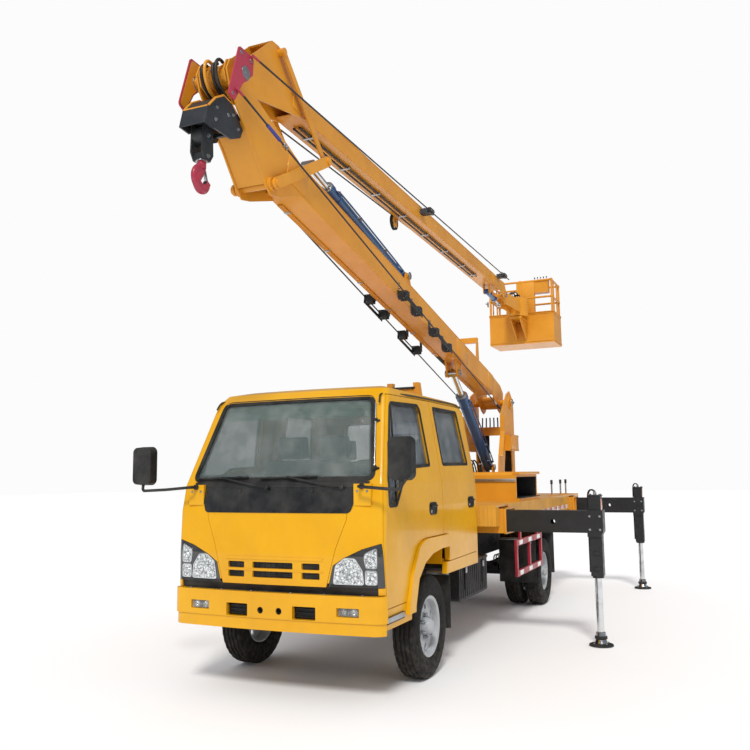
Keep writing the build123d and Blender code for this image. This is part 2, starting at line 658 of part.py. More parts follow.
# ================= deck =================
RIB_PITCH = 620
with BuildPart() as deck:
    deck_mid = (DECK_FRONT_X + DECK_REAR_X) / 2
    deck_len = DECK_FRONT_X - DECK_REAR_X
    with Locations((deck_mid, 0, DECK_TOP - DECK_T / 2)):
        Box(deck_len, 2 * DECK_HALF, DECK_T)
    for side in (-1, 1):
        with Locations((deck_mid, side * (DECK_HALF - 6), (DECK_TOP + DECK_SKIRT_Z) / 2)):
            Box(deck_len, 12, DECK_TOP - DECK_SKIRT_Z)
        with Locations((deck_mid, side * (DECK_HALF - 30), DECK_SKIRT_Z + 5)):
            Box(deck_len, 60, 10)
    for x in (DECK_FRONT_X - 6, DECK_REAR_X + 6):
        with Locations((x, 0, (DECK_TOP + DECK_SKIRT_Z) / 2)):
            Box(12, 2 * DECK_HALF, DECK_TOP - DECK_SKIRT_Z)
    # cross bearers on the subframe
    for x in (FX - 2250, FX - 2900, FX - 3550, FX - 4250, DECK_REAR_X + 130):
        with Locations((x, 0, (SUBFRAME_TOP + DECK_TOP - DECK_T) / 2)):
            Box(60, 2 * DECK_HALF - 24, DECK_TOP - DECK_T - SUBFRAME_TOP)
    for x in (FRONT_OUTRIGGER_X - 82, REAR_OUTRIGGER_X + 82):
        with Locations((x, 0, BEAM_MID_Z - 40)):
            Box(358, 2 * DECK_HALF + 100, 340, mode=Mode.SUBTRACT)
    with Locations((TURRET_X, 0, DECK_TOP - 100)):
        Cylinder(RING_R + 12, 300, mode=Mode.SUBTRACT)
save(deck, "deck")

TOOLBOX = [(FX - 3520, DECK_TOP), (FX - 3520, 1565), (FX - 2530, 1565), (FX - 2500, 1535),
           (FX - 2500, DECK_TOP)]
with BuildPart() as toolbox:
    add(side_plate(TOOLBOX, 380, 935))
    with Locations((FX - 3010, 700, 1400)):
        Box(980, 540, 230, mode=Mode.SUBTRACT)
    # hood over the open side, and the sill below it
    add(side_plate([(FX - 3520, 1545), (FX - 3520, 1565), (FX - 2500, 1565), (FX - 2500, 1545)], 900, 965))
    add(side_plate([(FX - 3520, DECK_TOP), (FX - 3520, 1285), (FX - 2500, 1285), (FX - 2500, DECK_TOP)], 900,
                   965))
save(toolbox, "toolbox")

with BuildPart() as battery_box:
    with BuildSketch(Plane.XZ.offset(-610)):
        with Locations((FX - 1400, 590)):
            RectangleRounded(900, 330, 25)
    extrude(amount=-160)
    for x in (FX - 1700, FX - 1100):
        add(bar(x, 485, 720, 50, 250, 40))
save(battery_box, "battery_box")

# ================= outriggers =================
CELL = BEAM_W + 2 * BEAM_CLEAR + HOUSING_WALL
OUTRIGGERS = (("front", FRONT_OUTRIGGER_X, FRONT_OUTRIGGER_X - CELL),
              ("rear", REAR_OUTRIGGER_X, REAR_OUTRIGGER_X + CELL))
SLEEVE_MID_Z = (SLEEVE_BOTTOM_Z + SLEEVE_TOP_Z) / 2

with BuildPart() as outrigger_housings:
    for place, left_x, right_x in OUTRIGGERS:
        with Locations(((left_x + right_x) / 2, 0, BEAM_MID_Z)):
            Box(2 * CELL + HOUSING_WALL, 2 * HOUSING_HALF, BEAM_H + 2 * (BEAM_CLEAR + HOUSING_WALL))
        for x in (left_x, right_x):
            with Locations((x, 0, BEAM_MID_Z)):
                Box(BEAM_W + 2 * BEAM_CLEAR, 2 * HOUSING_HALF, BEAM_H + 2 * BEAM_CLEAR, mode=Mode.SUBTRACT)
save(outrigger_housings, "outrigger_housings")

BEAM_OUT = LEG_Y - SLEEVE_W / 2 - 1
for place, left_x, right_x in OUTRIGGERS:
    for name, side, x in (("left", 1, left_x), ("right", -1, right_x)):
        beam_mid = side * (BEAM_IN_Y + BEAM_OUT) / 2
        with BuildPart() as beam:
            with Locations((x, beam_mid, BEAM_MID_Z)):
                Box(BEAM_W, BEAM_OUT - BEAM_IN_Y, BEAM_H)
                Box(BEAM_W - 2 * BEAM_WALL, BEAM_OUT - BEAM_IN_Y + 2, BEAM_H - 2 * BEAM_WALL,
                    mode=Mode.SUBTRACT)
            with Locations((x, side * (BEAM_OUT - 4), BEAM_MID_Z)):
                Box(BEAM_W, 8, BEAM_H)
            # lightening hole, and the collar plates that carry the leg's sleeve
            with Locations(Location((x, side * 1500, BEAM_MID_Z), (0, 90, 0))):
                Cylinder(22, BEAM_W + 20, mode=Mode.SUBTRACT)
            with BuildSketch(Plane.YZ.offset(x - BEAM_W / 2)):
                with Locations((side * LEG_Y, BEAM_MID_Z)):
                    Polygon((-70 * side, 104), (72 * side, 104), (72 * side, -90), (45 * side, -135),
                            (-70 * side, -135), align=None)
            extrude(amount=BEAM_W)
            with Locations((x, side * LEG_Y, SLEEVE_MID_Z)):
                Box(SLEEVE_W, SLEEVE_W, SLEEVE_TOP_Z - SLEEVE_BOTTOM_Z)
            with BuildSketch(Plane.XY.offset(SLEEVE_BOTTOM_Z)):
                with Locations((x, side * LEG_Y)):
                    Circle(ROD_R + 1)
            extrude(amount=SLEEVE_TOP_Z - SLEEVE_BOTTOM_Z - 40, mode=Mode.SUBTRACT)
            # hose guard down the outside of the sleeve
            with Locations((x, side * (LEG_Y - SLEEVE_W / 2 - 9), (SLEEVE_BOTTOM_Z + BEAM_MID_Z - 100) / 2)):
                Box(24, 18, BEAM_MID_Z - 100 - SLEEVE_BOTTOM_Z - 60)
        save(beam, f"{place}_outrigger_beam_{name}")
        with BuildPart() as leg:
            with BuildSketch(Plane.XZ.offset(-side * LEG_Y)):
                with BuildLine():
                    Polyline((x, 0), (x + PAD_R, 0), (x + PAD_R, 16), (x + 60, 26), (x + 46, 60),
                             (x + 52, 75),
                             (x + 44, 120), (x + ROD_R, 128), (x + ROD_R, 900), (x, 900), close=True)
                make_face()
            revolve(axis=Axis((x, side * LEG_Y, 0), (0, 0, 1)))
        save(leg, f"{place}_jack_leg_{name}")

# boom rest behind the cab: two raked posts, two rungs and a saddle plate each side
CRADLE_TOP = 2490
with BuildPart() as boom_cradle:
    for side in (-1, 1):
        with BuildSketch(Plane.YZ.offset(CRADLE_X - 35)):
            Polygon((side * 250, DECK_TOP), (side * 330, DECK_TOP), (side * 172, CRADLE_TOP),
                    (side * 112, CRADLE_TOP), align=None)
        extrude(amount=70)
        with Locations((CRADLE_X, side * 290, DECK_TOP + 6)):
            Box(160, 140, 12)
    for z, half in ((1700, 230), (2330, 150), (2405, 145)):
        with Locations((CRADLE_X, 0, z)):
            Box(50, 2 * half, 45)
save(boom_cradle, "boom_cradle")

with BuildPart() as fuel_tank:
    with BuildSketch(Plane.YZ.offset(FX - 2750)):
        with Locations((-650, 640)):
            RectangleRounded(420, 340, 60)
    extrude(amount=700)
    for x in (-2600, -2200):
        with Locations((FX + x, -400, 700)):
            Box(40, 80, 60)
save(fuel_tank, "fuel_tank")

# ---- side guards: a red frame hung from the deck's skirt ----
GUARD_X = (-3490, -2270)
with BuildPart() as side_guards:
    for side in (-1, 1):
        for z in (510, 820):
            with Locations((FX + sum(GUARD_X) / 2, side * 965, z + 15)):
                Box(GUARD_X[1] - GUARD_X[0], 26, 60)
        for x in (GUARD_X[0] + 25, sum(GUARD_X) / 2, GUARD_X[1] - 25):
            with Locations((FX + x, side * 965, 680)):
                Box(50, 26, 350)
        for x in (GUARD_X[0] + 200, GUARD_X[1] - 200):
            with Locations((FX + x, side * 965, (840 + DECK_SKIRT_Z) / 2)):
                Box(50, 20, DECK_SKIRT_Z - 840)
save(side_guards, "side_guards")

with BuildPart() as turntable_base:
    with BuildSketch(Plane.XZ.offset(0)):
        with BuildLine():
            Polyline((TURRET_X + RING_R - 60, RING_BOTTOM_Z), (TURRET_X + RING_R + 4, RING_BOTTOM_Z),
                     (TURRET_X + RING_R + 4, RING_BOTTOM_Z + 20),
                     (TURRET_X + RING_R - 30, RING_BOTTOM_Z + 40),
                     (TURRET_X + RING_R - 30, RING_TOP_Z - 60), (TURRET_X + RING_R, RING_TOP_Z - 50),
                     (TURRET_X + RING_R, RING_TOP_Z), (TURRET_X + RING_R - 60, RING_TOP_Z), close=True)
        make_face()
    revolve(axis=Axis((TURRET_X, 0, 0), (0, 0, 1)))
save(turntable_base, "turntable_base")

# ================= turret =================
LUFF_FOOT = (FX - 4800, 1640)
CHEEK_OUTLINE = [(-4330, TURRET_BASE_Z + TURRET_BASE_T), (-4330, 1420), (-4400, 1780), (-4540, 2120),
                 (-4540, 2330),
                 (-4880, 2640), (-5050, 2700), (-5200, 2600), (-5250, 2480),
                 (-5250, TURRET_BASE_Z + TURRET_BASE_T)]
CHEEK_WINDOW = [(-4640, 1560), (-4760, 1980), (-5080, 1980), (-5120, 1560)]
with BuildPart() as turret:
    with Locations((TURRET_X, 0, TURRET_BASE_Z + TURRET_BASE_T / 2)):
        Cylinder(RING_R + 20, TURRET_BASE_T)
        Box(940, 2 * CHEEK_Y + 70, TURRET_BASE_T)
    cheek = rounded_prism(Plane.XZ.offset(-(CHEEK_Y - CHEEK_T)), from_axle(CHEEK_OUTLINE), 0, -CHEEK_T)
    cheek = cheek - rounded_prism(Plane.XZ.offset(-CHEEK_Y + 60), from_axle(CHEEK_WINDOW), 40, -100)
    # flange along the cheek's sloping front edge
    for (x0, z0), (x1, z1) in zip(CHEEK_OUTLINE[2:4], CHEEK_OUTLINE[3:5]):
        cheek = cheek + side_plate(from_axle([(x0, z0), (x1, z1), (x1 - 12, z1), (x0 - 12, z0)]),
                                   CHEEK_Y - 1, CHEEK_Y + 45)
    cheek = cheek + pin(LUFF_X, LUFF_Z, CHEEK_Y - CHEEK_T - 8, CHEEK_Y + 14, 95)
    add(both_sides(cheek))
    for x, z in ((FX - 5190, 2150), (FX - 5190, 1480)):
        add(bar(x, 0, z, 60, 2 * CHEEK_Y - 10, 120))
    add(pin(LUFF_X, LUFF_Z, -CHEEK_Y - 60, CHEEK_Y + 60, 45.1), mode=Mode.SUBTRACT)
    # valve boxes on the cheeks
    for side in (-1, 1):
        add(bar(FX - 4930, side * (CHEEK_Y + 40), 1970, 460, 80, 220))
    # clevis at the foot of the luffing cylinder
    foot_x, foot_z = LUFF_FOOT
    clevis = side_plate([(foot_x - 70, TURRET_BASE_Z + 30), (foot_x + 90, TURRET_BASE_Z + 30),
                         (foot_x + 45, foot_z + 10), (foot_x + 20, foot_z + 40),
                         (foot_x - 20, foot_z + 40), (foot_x - 45, foot_z + 10)], 56, 72)
    add(both_sides(clevis))
    add(pin(foot_x, foot_z, -85, 85, PIN_R))
save(turret, "turret")

# ================= lower boom =================
LUFF_EYE = (FX - 3310, 2775)
LINK_LOWER = (FX + 1230, 3640)
LINK_UPPER = (FX + 1080, 4720)
LINK_MEET = (FX + 420, 4095)
FOLD_FOOT = (FX - 1620, 3610)
HALF_LOWER = LOWER_W / 2
HALF_UPPER = UPPER_W / 2


def box_section(line, height, half, x_from, x_to):
    """A welded boom of rectangular section, open through its length."""
    outer = side_plate([(x_from, line(x_from)), (x_to, line(x_to)), (x_to, line(x_to, height)),
                        (x_from, line(x_from, height))], -half, half)
    low, high = BOOM_WALL, height - BOOM_WALL
    inner = side_plate([(x_from - 10, line(x_from - 10, low)), (x_to + 10, line(x_to + 10, low)),
                        (x_to + 10, line(x_to + 10, high)), (x_from - 10, line(x_from - 10, high))],
                       -half + BOOM_WALL, half - BOOM_WALL)
    return outer - inner


LOWER_BOX_X = (FX - 4720, FX + 900)
LOWER_ROOT = [(LOWER_BOX_X[0] + 60, lower_line(LOWER_BOX_X[0] + 60)),
              (LOWER_BOX_X[0] + 60, lower_line(LOWER_BOX_X[0] + 60, LOWER_H - 8)),
              (FX - 5080, 2790), (FX - 5230, 2690), (LUFF_X - 150, LUFF_Z), (LUFF_X - 106, LUFF_Z - 106),
              (LUFF_X, LUFF_Z - 150), (LUFF_X + 110, LUFF_Z - 110)]
LOWER_HEAD = [(FX + 780, lower_line(FX + 780)), (FX + 1110, 3585), (FX + 1230, 3560), (FX + 1310, 3620),
              (FX + 1480, 3830), (FX + 1670, 4030), (FX + 1760, 4150), (FX + 1800, 4255),
              (FX + 1760, 4340), (FX + 1687, 4370), (FX + 1600, 4340), (FX + 1420, 4200),
              (FX + 780, lower_line(FX + 780, LOWER_H))]

with BuildPart() as lower_boom:
    add(box_section(lower_line, LOWER_H, HALF_LOWER, *LOWER_BOX_X))
    cheek_in = HALF_LOWER - 12
    add(both_sides(side_plate(LOWER_ROOT, cheek_in, HALF_LOWER)))
    add(both_sides(side_plate(LOWER_HEAD, cheek_in, HALF_LOWER)))
    # bosses of the foot pin and cross tie between the root's cheeks
    add(pin(LUFF_X, LUFF_Z, -HALF_LOWER - 6, HALF_LOWER + 6, 88))
    add(pin(LUFF_X, LUFF_Z, -CHEEK_Y - 30, CHEEK_Y + 30, 45))
    # luffing cylinder clevis under the boom
    eye_x, eye_z = LUFF_EYE
    clevis = side_plate([(eye_x - 50, eye_z - 20), (eye_x, eye_z - 50), (eye_x + 50, eye_z - 20),
                         (eye_x + 120, lower_line(eye_x + 120, 6)),
                         (eye_x - 120, lower_line(eye_x - 120, 6))],
                        54, 70)
    add(both_sides(clevis + pin(eye_x, eye_z, 54, 84, PIN_R + 8)))
    # folding cylinder foot on the boom's back
    foot_x, foot_z = FOLD_FOOT
    foot_base = LOWER_H - 6
    ear = side_plate([(foot_x - 40, foot_z + 30), (foot_x + 40, foot_z + 30),
                      (foot_x + 110, lower_line(foot_x + 110, foot_base)),
                      (foot_x - 110, lower_line(foot_x - 110, foot_base))], 62, 78)
    add(both_sides(ear))
    add(pin(FOLD_FOOT[0], FOLD_FOOT[1], -95, 95, PIN_R))
    add(pin(ELBOW_X, ELBOW_Z, -185, 185, 45))
    # front plate of the head, between its cheeks
    add(side_plate([(FX + 1290, 3632), (FX + 1460, 3842), (FX + 1590, 3977), (FX + 1600, 3967),
                    (FX + 1470, 3832), (FX + 1300, 3622)], -HALF_LOWER + 5, HALF_LOWER - 5))
    # bosses of the link pin
    add(both_sides(pin(LINK_LOWER[0], LINK_LOWER[1], HALF_LOWER - 1, HALF_LOWER + 24, 52)))
    # rest for the upper boom: two ears with a cross bar
    rest_x = FX - 4000
    with BuildPart() as rest:
        add(side_plate([(rest_x - 60, lower_line(rest_x - 60, foot_base)),
                        (rest_x - 30, lower_line(rest_x, 545)),
                        (rest_x + 30, lower_line(rest_x, 545)),
                        (rest_x + 60, lower_line(rest_x + 60, foot_base))],
                       -HALF_LOWER + 4, HALF_LOWER - 4))
        add(bar(rest_x, 0, lower_line(rest_x, 380), 160, LOWER_W - 34, 190), mode=Mode.SUBTRACT)
    add(rest.part)
    add(pin(LINK_LOWER[0], LINK_LOWER[1], -200, 200, PIN_R + 0.1), mode=Mode.SUBTRACT)
save(lower_boom, "lower_boom")

# ---- sheave box over the hook: two side plates with a cover above, open below ----
SHEAVE_SIDE = [(FX + 1960, 3870), (FX + 1960, 3925), (FX + 1880, 4010), (FX + 1790, 4065), (FX + 1700, 4050),
               (FX + 1640, 4000), (FX + 1560, 3915), (FX + 1590, 3850), (FX + 1700, 3800), (FX + 1900, 3800)]
SHEAVE_COVER = [(FX + 1960, 3925), (FX + 1880, 4010), (FX + 1790, 4065), (FX + 1700, 4050), (FX + 1640, 4000),
                (FX + 1650, 3990), (FX + 1703, 4040), (FX + 1787, 4053), (FX + 1872, 4001), (FX + 1950, 3920)]
HOOK_PIN = (FX + 1890, 3860)
with BuildPart() as sheave_box:
    add(both_sides(side_plate(SHEAVE_SIDE, 88, 100)))
    add(side_plate(SHEAVE_COVER, -90, 90))
    add(pin(HOOK_PIN[0], HOOK_PIN[1], -104, 104, 16))
    for z in (3880, 3960):
        add(bar(FX + 1625 + (z - 3880) * 0.8, 0, z, 24, 190, 24))
save(sheave_box, "sheave_box")

# ---- hook ----
HOOK_SHANK = (HOOK_PIN[0], 3500)
with BuildPart() as hook_block:
    cheek = side_plate([(HOOK_PIN[0] - 50, 3890), (HOOK_PIN[0] + 50, 3890), (HOOK_PIN[0] + 62, 3640),
                        (HOOK_PIN[0] + 30, 3590), (HOOK_PIN[0] - 30, 3590), (HOOK_PIN[0] - 62, 3640)], 38, 48)
    add(both_sides(cheek))
    add(pin(HOOK_PIN[0], 3760, -40, 40, 62))
    add(pin(HOOK_PIN[0], HOOK_PIN[1], -60, 60, 30))
    add(bar(HOOK_PIN[0], 0, 3615, 70, 92, 50))
    with Locations((HOOK_PIN[0], 0, 3560)):
        Cylinder(18, 80)
    # the hook: a bent plate between two arcs, its mouth open to the rear
    with BuildSketch(Plane.XZ.offset(14)):
        with BuildLine():
            ThreePointArc((HOOK_SHANK[0] + 20, 3555), (HOOK_SHANK[0] + 30, 3400), (HOOK_SHANK[0] - 72, 3460))
            Line((HOOK_SHANK[0] - 72, 3460), (HOOK_SHANK[0] - 45, 3475))
            ThreePointArc((HOOK_SHANK[0] - 45, 3475), (HOOK_SHANK[0] + 8, 3440), (HOOK_SHANK[0] - 18, 3520))
            Line((HOOK_SHANK[0] - 18, 3520), (HOOK_SHANK[0] - 20, 3555))
            Line((HOOK_SHANK[0] - 20, 3555), (HOOK_SHANK[0] + 20, 3555))
        make_face()
    extrude(amount=-28)
    add(pin(HOOK_PIN[0], HOOK_PIN[1], -200, 200, 16.1), mode=Mode.SUBTRACT)
save(hook_block, "hook_block")

# ================= upper boom =================
UPPER_BOX_X = (UPPER_TIP_X, FX + 800)
UPPER_ROOT = [(FX + 700, upper_line(FX + 700)), (FX + 1420, 4215), (FX + 1600, 4165), (FX + 1687, 4140),
              (FX + 1775, 4180), (FX + 1800, 4255), (FX + 1770, 4335), (FX + 1687, 4370), (FX + 1600, 4390),
              (FX + 1460, 4520), (FX + 1180, 4770), (FX + 1080, 4775), (FX + 1020, 4720),
              (FX + 700, upper_line(FX + 700, UPPER_H))]
UPPER_FORK = [(UPPER_TIP_X, upper_line(UPPER_TIP_X)), (UPPER_TIP_X, upper_line(UPPER_TIP_X, UPPER_H)),
              (LEVEL_X + 40, upper_line(UPPER_TIP_X, UPPER_H)), (LEVEL_X - 60, LEVEL_Z + 60),
              (LEVEL_X - 70, LEVEL_Z), (LEVEL_X, LEVEL_Z - 70)]
LEVEL_FOOT = (FX - 4980, 4150)
LEVEL_EYE = (FX - 5640, 4085)
FOOT_LUG = [(LEVEL_FOOT[0] - 40, upper_line(LEVEL_FOOT[0] - 40)), (LEVEL_FOOT[0] - 40, LEVEL_FOOT[1]),
            (LEVEL_FOOT[0] - 18, LEVEL_FOOT[1] - 36), (LEVEL_FOOT[0] + 18, LEVEL_FOOT[1] - 36),
            (LEVEL_FOOT[0] + 40, LEVEL_FOOT[1]), (LEVEL_FOOT[0] + 70, upper_line(LEVEL_FOOT[0] + 70))]
with BuildPart() as upper_boom:
    add(box_section(upper_line, UPPER_H, HALF_UPPER, *UPPER_BOX_X))
    add(both_sides(side_plate(UPPER_ROOT, HALF_UPPER - 10, HALF_UPPER)))
    # web between the root's cheeks, the elbow's tube and the link pin's boss
    add(side_plate([(FX + 780, upper_line(FX + 780, UPPER_H - 8)), (FX + 1100, 4755), (FX + 1180, 4755),
                    (FX + 1190, 4765), (FX + 1090, 4767), (FX + 780, upper_line(FX + 780, UPPER_H))],
                   -HALF_UPPER + 2, HALF_UPPER - 2))
    add(pin(ELBOW_X, ELBOW_Z, -HALF_UPPER, HALF_UPPER, 75))
    add(pin(ELBOW_X, ELBOW_Z, -200, 200, 45.1), mode=Mode.SUBTRACT)
    add(pin(LINK_UPPER[0], LINK_UPPER[1], -HALF_UPPER - 1, HALF_UPPER + 1, PIN_R + 20))
    add(pin(LINK_UPPER[0], LINK_UPPER[1], -200, 200, PIN_R + 0.1), mode=Mode.SUBTRACT)
# the fork on the box's end, with the pin of the basket's head
with BuildPart() as boom_fork:
    add(both_sides(side_plate(UPPER_FORK, HALF_UPPER - 10, HALF_UPPER)))
    add(pin(LEVEL_X, LEVEL_Z, -HALF_UPPER - 12, HALF_UPPER + 12, PIN_R))
# the clevis under the box, with the pin of the levelling cylinder's foot
with BuildPart() as foot_clevis:
    add(both_sides(side_plate(FOOT_LUG, 35, 43)))
    add(pin(LEVEL_FOOT[0], LEVEL_FOOT[1], -50, 50, PIN_R))
save_solids([upper_boom, boom_fork, foot_clevis], "upper_boom")


def ropes(start, end, y, radius=7):
    """A pair of taut levelling ropes, one each side."""
    (x0, z0), (x1, z1) = start, end
    length = hypot(x1 - x0, z1 - z0)
    tilt = degrees(atan2(x1 - x0, z1 - z0))
    with BuildPart() as pair:
        for side in (-1, 1):
            with Locations(Location(((x0 + x1) / 2, side * y, (z0 + z1) / 2), (0, tilt, 0))):
                Cylinder(radius, length)
    return pair.part


ROPE_Y = 214
LOWER_ROPE_DROP = 200
UPPER_ROPE_RISE = 150
PIVOT_SLOPE = (ELBOW_Z - LUFF_Z) / (ELBOW_X - LUFF_X)


def lower_rope_z(x):
    """Height of the lower levelling ropes, which run parallel to the line between the boom's two pins."""
    return LUFF_Z - LOWER_ROPE_DROP + PIVOT_SLOPE * (x - LUFF_X)


LOWER_ROPE_X = (FX - 4750, FX + 1660)
with BuildPart() as lower_levelling_ropes:
    add(ropes(*((x, lower_rope_z(x)) for x in LOWER_ROPE_X), ROPE_Y))
    # roller and guide brackets bolted to the boom's sides
    for x_from, x_to in ((-1640, -1160), (-2600, -2050)):
        for x in (FX + x_from + 60, FX + x_to - 60):
            for side in (-1, 1):
                bracket_z = (lower_rope_z(x) - 26 + lower_line(x, 60)) / 2
                add(bar(x, side * (HALF_LOWER + 4), bracket_z, 60, 8,
                        lower_line(x, 60) - lower_rope_z(x) + 26))
                bracket_y = (HALF_LOWER + ROPE_Y + 14) / 2
                add(bar(x, side * bracket_y, lower_rope_z(x), 60, ROPE_Y + 14 - HALF_LOWER, 40))
save(lower_levelling_ropes, "lower_levelling_ropes")

with BuildPart() as upper_levelling_ropes:
    add(ropes((FX - 5450, ELBOW_Z + UPPER_ROPE_RISE - 5), (FX + 1420, ELBOW_Z + UPPER_ROPE_RISE), ROPE_Y))
    for x in (FX - 2000, FX - 5200):
        for side in (-1, 1):
            bracket_y = (HALF_UPPER + ROPE_Y + 14) / 2
            add(bar(x, side * bracket_y, ELBOW_Z + UPPER_ROPE_RISE, 110, ROPE_Y + 14 - HALF_UPPER, 50))
save(upper_levelling_ropes, "upper_levelling_ropes")

LEVEL_PLATE = [(80, 155), (-100, 150), (-90, 20), (40, -100), (130, -260), (200, -225)]
with BuildPart() as levelling_plates:
    for side in (-1, 1):
        y = side * 196
        plate = rounded_prism(Plane.XZ.offset(-y - 5),
                              [(ELBOW_X + dx, ELBOW_Z + dz) for dx, dz in LEVEL_PLATE],
                              25, 10)
        add(plate)
save(levelling_plates, "levelling_plates")


# ---- links and cylinders ----
def strap(start, end, y_from, y_to, half_width):
    """A flat link with round ends between two pins."""
    (x0, z0), (x1, z1) = start, end
    run = hypot(x1 - x0, z1 - z0)
    nx, nz = -(z1 - z0) / run * half_width, (x1 - x0) / run * half_width
    with BuildPart() as link:
        add(side_plate([(x0 + nx, z0 + nz), (x1 + nx, z1 + nz), (x1 - nx, z1 - nz), (x0 - nx, z0 - nz)],
                       y_from, y_to))
        add(pin(x0, z0, y_from, y_to, half_width))
        add(pin(x1, z1, y_from, y_to, half_width))
    return link.part


with BuildPart() as lower_fold_link:
    link = strap(LINK_LOWER, LINK_MEET, 165, 185, 42) + pin(LINK_MEET[0], LINK_MEET[1], 165, 199, PIN_R)
    add(both_sides(link))
    add(pin(LINK_LOWER[0], LINK_LOWER[1], -198, 198, PIN_R))
save(lower_fold_link, "lower_fold_link")

with BuildPart() as upper_fold_link:
    add(both_sides(strap(LINK_UPPER, LINK_MEET, 139, 151, 30)))
    add(pin(LINK_UPPER[0], LINK_UPPER[1], -158, 158, PIN_R))
save(upper_fold_link, "upper_fold_link")


def cylinder_pair(foot, eye, barrel_len, barrel_r, rod_r, rod_len, eye_half, eye_r, rod_eye_r):
    """A hydraulic cylinder between two pins: the barrel and the rod as two parts."""
    length = hypot(eye[0] - foot[0], eye[1] - foot[1])
    tilt = degrees(atan2(eye[0] - foot[0], eye[1] - foot[1]))
    base = Plane(Location((foot[0], 0, foot[1]), (0, tilt, 0)))
    with BuildPart() as barrel:
        with BuildSketch(base.offset(eye_r + 25)):
            Circle(barrel_r)
        extrude(amount=barrel_len - eye_r - 25)
        # gland ring at the mouth
        with BuildSketch(base.offset(barrel_len - 60)):
            Circle(barrel_r + 7)
        extrude(amount=60)
        add(pin(foot[0], foot[1], -eye_half, eye_half, eye_r))
        with BuildSketch(base):
            Rectangle(eye_r * 1.6, 2 * eye_half)
        extrude(amount=eye_r + 26)
        add(pin(foot[0], foot[1], -200, 200, PIN_R + 0.1), mode=Mode.SUBTRACT)
        with BuildSketch(base.offset(eye_r + 40)):
            Circle(rod_r + 0.1)
        extrude(amount=barrel_len, mode=Mode.SUBTRACT)
    with BuildPart() as rod:
        with BuildSketch(base.offset(length - rod_len)):
            Circle(rod_r)
        extrude(amount=rod_len - 10)
        add(pin(eye[0], eye[1], -eye_half, eye_half, rod_eye_r))
    return barrel, rod


luff_barrel, luff_rod = cylinder_pair(LUFF_FOOT, LUFF_EYE, 1470, 70, 38, 1250, 48, 42, 42)
save(luff_barrel, "luff_cylinder_barrel")
save(luff_rod, "luff_cylinder_rod")
fold_barrel, fold_rod = cylinder_pair(FOLD_FOOT, LINK_MEET, 1750, 50, 28, 1550, 52, 45, 38)
save(fold_barrel, "fold_cylinder_barrel")
save(fold_rod, "fold_cylinder_rod")
level_barrel, level_rod = cylinder_pair(LEVEL_FOOT, LEVEL_EYE, 400, 34, 16, 430, 30, 36, 36)
save(level_barrel, "level_cylinder_barrel")
save(level_rod, "level_cylinder_rod")

# ================= basket =================
with BuildPart() as basket_head:
    cheek = side_plate([(LEVEL_X + 60, LEVEL_Z), (LEVEL_X + 40, LEVEL_Z + 60), (SWING_X, LEVEL_Z + 150),
                        (SWING_X, LEVEL_Z - 60), (LEVEL_X - 60, LEVEL_Z - 110), (LEVEL_X + 20, LEVEL_Z - 60)],
                       HALF_UPPER - 33, HALF_UPPER - 17)
    add(both_sides(cheek))
    with Locations((SWING_X, 0, LEVEL_Z + 30)):
        Cylinder(180, 300)
    for x in (LEVEL_X - 300, LEVEL_X - 800):
        add(bar(x, 0, LEVEL_Z + 40, 60, 2 * HALF_UPPER - 50, 60))
    add(pin(LEVEL_X, LEVEL_Z, -200, 200, PIN_R + 0.1), mode=Mode.SUBTRACT)
save(basket_head, "basket_head")

RAIL_R = 17
POST_Y = (-BASKET_HALF + 20, 0, BASKET_HALF - 20)
BASKET_BACK_X = BASKET_FRONT_X - BASKET_DEPTH
BASKET_MID_X = BASKET_FRONT_X - BASKET_DEPTH / 2


def basket_ring(z):
    """A tube rail round the basket at one height."""
    with BuildSketch(Plane.XY.offset(z)) as plan:
        with Locations((BASKET_MID_X, 0)):
            RectangleRounded(BASKET_DEPTH - 40, 2 * BASKET_HALF - 40, 60)
    path = plan.sketch.face().outer_wire()
    with BuildPart() as ring:
        with BuildSketch(Plane(origin=path @ 0, z_dir=path % 0)):
            Circle(RAIL_R)
        sweep(path=path)
    return ring.part


with BuildPart() as basket:
    # floor and the sheet sides with their folded upper edge
    add(bar(BASKET_MID_X, 0, BASKET_FLOOR_Z + 20, BASKET_DEPTH, 2 * BASKET_HALF, 40))
    wall_mid = (BASKET_FLOOR_Z + BASKET_SHEET_TOP) / 2
    wall_high = BASKET_SHEET_TOP - BASKET_FLOOR_Z
    add(bar(BASKET_MID_X, 0, wall_mid, BASKET_DEPTH, 2 * BASKET_HALF, wall_high)
        - bar(BASKET_MID_X, 0, wall_mid + 40, BASKET_DEPTH - 36, 2 * BASKET_HALF - 36, wall_high))
    for z in (BASKET_SHEET_TOP + 260, BASKET_RAIL_TOP - RAIL_R):
        add(basket_ring(z))
    for x in (BASKET_FRONT_X - 20, BASKET_BACK_X + 20):
        for y in POST_Y:
            add(bar(x, y, (BASKET_SHEET_TOP + BASKET_RAIL_TOP) / 2 - 20, 30, 30,
                    BASKET_RAIL_TOP - BASKET_SHEET_TOP + 10))
    # outriggers of the floor and the bracket that hangs the basket from its swing post
    add(bar((SWING_X + BASKET_FRONT_X) / 2 + 80, 0, LEVEL_Z - 150, SWING_X - BASKET_FRONT_X + 180, 200, 40))
    bracket = side_plate([(BASKET_FRONT_X, BASKET_FLOOR_Z + 60), (BASKET_FRONT_X, LEVEL_Z - 135),
                          (SWING_X + 160, LEVEL_Z - 135), (SWING_X + 160, LEVEL_Z - 200)], 70, 88)
    add(both_sides(bracket))
    # control console on the front rail
    add(bar(BASKET_FRONT_X - 100, 330, BASKET_RAIL_TOP - 120, 150, 260, 200))
save(basket, "basket")
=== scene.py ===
import math

